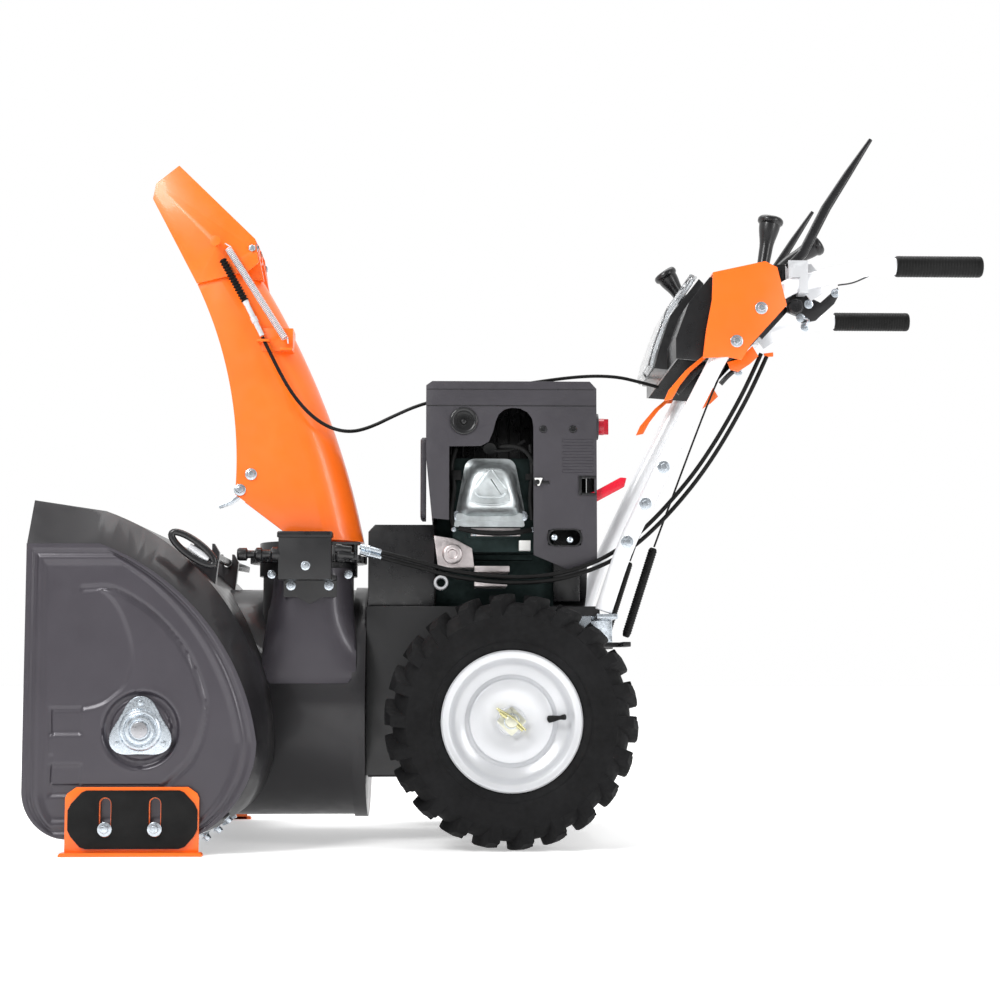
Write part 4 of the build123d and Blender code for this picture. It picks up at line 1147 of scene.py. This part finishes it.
def add_lever(bm, y, foot, neck, head, radius):
    """Mushroom lever: a stem that widens upward and a domed head with a rolled rim."""
    foot, neck, head = (p3(x, y, z) for x, z in (foot, neck, head))
    top = (head - neck).normalized()
    points = along([foot, neck, head - top * 0.014], 30)
    r = radius * MM
    radii = [0.0078 + 0.0045 * smooth(i / 30, 0.25, 0.9) + (0.82 * r - 0.0123) * smooth(i / 30, 0.8, 1.0)
             for i in range(31)]
    add_tube(bm, points, radii, 32)
    add_lathe(bm, [(0.5 * r, -0.002), (0.84 * r, -0.001), (0.97 * r, 0.002), (r, 0.0055), (0.97 * r, 0.009),
                   (0.86 * r, 0.0118), (0.7 * r, 0.0128), (0.6 * r, 0.0118), (0.3 * r, 0.0125), (0, 0.013)],
              axis_matrix(head - top * 0.013, top), 40)


LEVERS = (("chute_lever", 125, (362, 900), (335, 940), (283, 1016), 22),
          ("speed_lever", 0, (405, 905), (440, 975), (463, 1090), 23),
          ("deflector_lever", -140, (436, 905), (450, 962), (520, 1012), 19))
for node, *shape in LEVERS:
    new_piece(node + "_moulding", lambda bm, shape=shape: add_lever(bm, *shape), "black_plastic", node,
              (node,))


def add_paddle(bm, side):
    """Clutch paddle: a tapering blade with rounded edges."""
    spine = [(447, 946, 7), (470, 968, 8), (510, 1045, 8), (548, 1104, 6.5), (586, 1161, 3.4)]
    sections = []
    for i, (x, z, half) in enumerate(spine):
        before, after = spine[max(i - 1, 0)], spine[min(i + 1, len(spine) - 1)]
        ahead = Vector((after[0] - before[0], 0, after[1] - before[1])).normalized()
        across = Vector((ahead.z, 0, -ahead.x))
        wide = 9 if i < 4 else 7
        sections.append([p3(x, side * HANDLE_Y, z) + across * a * half * MM + Vector((0, b * wide * MM, 0))
                         for a, b in rounded(1.0, 1.0, 0.45, 3)])
    add_loft(bm, sections)


for name, side in HANDS:
    new_piece("paddle_blade_" + name, lambda bm, side=side: add_paddle(bm, side), "black_plastic",
              "paddle_" + name, ("paddle_" + name,), width=0.0008, sharp=50)


def add_grip(bm, side):
    """Foam-rubber grip with rounded ends and shallow rings."""
    start, end = p3(624, side * HANDLE_Y, 948), p3(768, side * HANDLE_Y, 948)
    length = (end - start).length
    profile = [(0.0142, 0), (0.0160, 0.0004), (0.0173, 0.002), (0.0175, 0.005)]
    for rib in range(26):
        at = 0.008 + (length - 0.016) * rib / 26
        profile += [(0.0175, at), (0.0171, at + 0.0008), (0.0171, at + 0.0016), (0.0175, at + 0.0024)]
    profile += [(0.0175, length - 0.006), (0.0170, length - 0.0025), (0.0150, length - 0.0004), (0, length)]
    add_lathe(bm, [(0.0142, 0.002)] + profile, axis_matrix(start, end - start), 40)


new_piece("grip_sleeves", both(add_grip), "rubber", "machine",
          ("grips",), sharp=30)


def flat_plate(bm, outline, y, thick):
    add_prism(bm, metres(outline), y * MM, (y + thick) * MM)


def add_clutch_plates(bm):
    """Pale pivot plates beside the paddles, with their two rivets."""
    for side in SIDES:
        flat_plate(bm, [(452, 938), (472, 953), (487, 955), (498, 941), (505, 905), (486, 892)], side * 236,
                   -3 * side)
        for x, z in ((470, 936), (482, 942)):
            add_bolt(bm, p3(x, side * 236.2, z), (0, side, 0), 0.0028, 0.002, washer=False)


new_piece("clutch_plates", add_clutch_plates, "silver_paint", "machine", width=0.0005)


def add_latch_arms(bm):
    """Dark latch arm, cam and rod ends between the panel and the handles."""
    flat_plate(bm, [(448, 918), (484, 902), (504, 892), (533, 918), (537, 908), (527, 890), (496, 862),
                    (473, 858),
                    (466, 869), (448, 876)], -224, 7)
    flat_plate(bm, [(440, 900), (452, 880), (432, 858), (408, 832), (402, 838), (426, 878)], -214, 6)
    add_tube(bm, along([p3(462, -216, 882), p3(480, -216, 874), p3(500, -216, 868)], 12), [0.004] * 13, 14)
    add_lathe(bm, [(0, 0), (0.013, 0), (0.013, 0.006), (0.010, 0.008), (0, 0.008)],
              axis_matrix(p3(462, -224, 884), (0, -1, 0)), 28)
    add_tube(bm, along([p3(534, -222, 922), p3(560, -226, 926), p3(590, -236, 938), p3(622, -246, 947)], 20),
             [0.0014] * 21, 10)
    add_tube(bm, along([p3(364, -214, 782), p3(350, -212, 770), p3(338, -209, 757)], 12), [0.0042] * 13, 14)
    flat_plate(bm, [(300, 789), (277, 768), (262, 745), (268, 738), (292, 765), (312, 787)], -214, 5)


new_piece("latch_arms", add_latch_arms, "black_plastic", "machine", width=0.0009)


def add_latch_pins(bm):
    for x, z, y in ((484, 889, -225), (470, 866, -225), (529, 908, -225), (478, 851, -222), (366, 776, -222)):
        add_bolt(bm, p3(x, y, z), (0, -1, 0), 0.0042, 0.0035)
    add_tube(bm, along([p3(472, -226, 866), p3(482, -231, 861), p3(478, -229, 852)], 12), [0.0022] * 13, 10)


new_piece("latch_pins", add_latch_pins, "zinc", "machine", width=0.0002)


def add_panel_flaps(bm):
    """Orange brackets under the panel: the rear flap, the front strip and the interlock's tab."""
    for side in SIDES:
        flat_plate(bm, [(388, 817), (398, 800), (384, 787), (364, 774), (351, 777), (346, 790), (366, 795)],
                   side * 234, -3 * side)
        flat_plate(bm, [(307, 801), (277, 776), (249, 743), (241, 725), (255, 728), (267, 750), (285, 773),
                        (312, 797)], side * 233, -3 * side)
    flat_plate(bm, [(519, 930), (524, 936), (536, 934), (540, 927), (530, 925), (524, 927)], -226, 4)
    flat_plate(bm, [(408, 806), (424, 808), (424, 801), (410, 800)], -226, 4)


new_piece("panel_flaps", add_panel_flaps, "orange_paint", "machine", width=0.0006)


def add_panel_bolts(bm):
    for side in SIDES:
        for x, z in ((398, 874), (357, 819)):
            add_bolt(bm, p3(x, side * 268.2, z), (0, side, 0), 0.0058, 0.0045)


new_piece("panel_bolts", add_panel_bolts, "zinc", "machine", width=0.0003)


def add_lamp_reflectors(bm):
    """Six small bowls in two rows behind the lens."""
    for row, (x, z) in enumerate(((262, 842), (277, 878))):
        for y in (-60, 0, 60):
            matrix = axis_matrix(p3(x, y, z), (-0.92, 0, 0.4))
            add_lathe(bm, [(0.0035, -0.004), (0.010, -0.001), (0.0155, 0.0055), (0.0165, 0.0055),
                           (0.0165, 0.0068), (0.0148, 0.0068), (0.0090, 0.0008), (0.0030, -0.002)],
                      matrix, 32, closed=True)
            add_lathe(bm, [(0, -0.004), (0.0034, -0.004), (0.0034, 0.0015), (0.0020, 0.0035), (0, 0.004)],
                      matrix, 16)


new_piece("lamp_reflectors", add_lamp_reflectors, "silver_paint", "machine")


def add_tool(bm):
    """Snow clean-out tool: bar, hand grip with a loop, and a curved blade."""
    add_tube(bm, [p3(-504, y, 474) for y in (-330, -300, -296, 118, 122)],
             [0.0075, 0.0078, 0.0068, 0.0068, 0.0080], 24)
    ring = []
    for step in range(33):
        angle = 2 * math.pi * step / 32
        run, rise = 41 * math.cos(angle), 12 * math.sin(angle)
        ring.append(p3(-514 + run * 0.81 + rise * 0.59, -331, 474 - run * 0.59 + rise * 0.81))
    add_tube(bm, ring, [0.0056] * 33, 14)
    add_tube(bm, [p3(-504, -331, 474), p3(-504, -300, 474)], [0.0105, 0.0078], 20)
    blade = []
    for y, low, high, lift in ((116, -512, -492, 0), (134, -513, -482, 0), (170, -513, -476, -1),
                               (196, -512, -480, -3)):
        blade.append([p3(low, y, 471 + lift), p3(high, y, 469 + lift * 2), p3(high, y, 474 + lift * 2),
                      p3((low + high) / 2, y, 480 + lift), p3(low, y, 479 + lift)])
    add_loft(bm, blade)


new_piece("clean_out_bar", add_tool, "black_plastic", "clean_out_tool", ("clean_out_tool",),
          width=0.0008)


def add_tool_insert(bm):
    add_tube(bm, [p3(-520, -330, 478), p3(-500, -330, 464), p3(-490, -330, 457)], [0.0050, 0.0062, 0.0040],
             16)


new_piece("tool_insert", add_tool_insert, "silver_paint", "clean_out_tool")


def add_handle_bolts(bm):
    for side in SIDES:
        for x, z in ((236, 612), (206, 552), (176, 490)):
            add_bolt(bm, p3(x, side * 264, z), (0, side, 0), 0.0058, 0.005)


new_piece("handle_bolts", add_handle_bolts, "zinc", "machine", width=0.0003)


# ------------------------------------------------------------------ anything still plain

for node, obj in frame["nodes"].items():
    if obj.data.materials:
        for index in range(len(obj.data.materials)):
            obj.data.materials[index] = M.get(SLOT_OF[node], M["black_plastic"])


# ------------------------------------------------------------------ floor, lights, camera

bpy.ops.mesh.primitive_plane_add(size=40, location=(0, 8, 0))
floor = bpy.context.object
floor.name = "floor"
floor_shader = Shader("floor", 0.6, specular=0.2)
floor_shader.colour(floor_shader.ramp(floor_shader.noise(0.6, 2.0), [(0.3, (0.93,) * 3), (0.7, (0.95,) * 3)]))
floor_shader.shader.inputs["Emission Color"].default_value = (1.0, 1.0, 1.0, 1.0)
floor_shader.shader.inputs["Emission Strength"].default_value = 0.42
floor.data.materials.append(floor_shader.material)

world = bpy.data.worlds.new("studio")
bpy.context.scene.world = world
world.use_nodes = True
sky = world.node_tree.nodes
place = sky.new("ShaderNodeTexCoord").outputs["Generated"]
split = sky.new("ShaderNodeSeparateXYZ")
spread = sky.new("ShaderNodeMapRange")
spread.interpolation_type = "SMOOTHSTEP"
for socket, value in (("From Min", -0.75), ("From Max", 0.35), ("To Min", 0.42), ("To Max", 1.0)):
    spread.inputs[socket].default_value = value
world.node_tree.links.new(place, split.inputs["Vector"])
world.node_tree.links.new(split.outputs["Y"], spread.inputs["Value"])
world.node_tree.links.new(spread.outputs["Result"], sky["Background"].inputs["Strength"])
sky["Background"].inputs["Color"].default_value = (1.0, 1.0, 1.0, 1.0)
bpy.context.scene.view_settings.view_transform = "Standard"


def softbox(name, place, target, size, power):
    light = bpy.data.lights.new(name, "AREA")
    light.shape = "RECTANGLE"
    light.size, light.size_y = size
    light.energy = power
    obj = bpy.data.objects.new(name, light)
    obj.location = place
    obj.rotation_euler = (Vector(target) - Vector(place)).to_track_quat("-Z", "Y").to_euler()
    bpy.context.scene.collection.objects.link(obj)


softbox("key", (-1.9, -2.2, 2.4), (-0.2, 0, 0.45), (0.9, 1.4), 70)
softbox("fill", (2.6, -2.4, 1.4), (0.1, 0, 0.4), (0.8, 1.6), 32)
softbox("top", (0.0, 0.4, 3.2), (0, 0, 0.4), (2.6, 1.6), 50)

eye = Vector((-0.11794, -3.321, 0.28403))
yaw, pitch = math.radians(1.652), math.radians(5.116)
ahead = Vector((math.sin(yaw) * math.cos(pitch), math.cos(yaw) * math.cos(pitch), math.sin(pitch)))
camera_data = bpy.data.cameras.new("camera")
camera_data.lens = 68.36
camera_data.sensor_width = 36.0
camera = bpy.data.objects.new("camera", camera_data)
camera.location = eye
camera.rotation_euler = ahead.to_track_quat("-Z", "Y").to_euler()
bpy.context.scene.collection.objects.link(camera)
bpy.context.scene.camera = camera
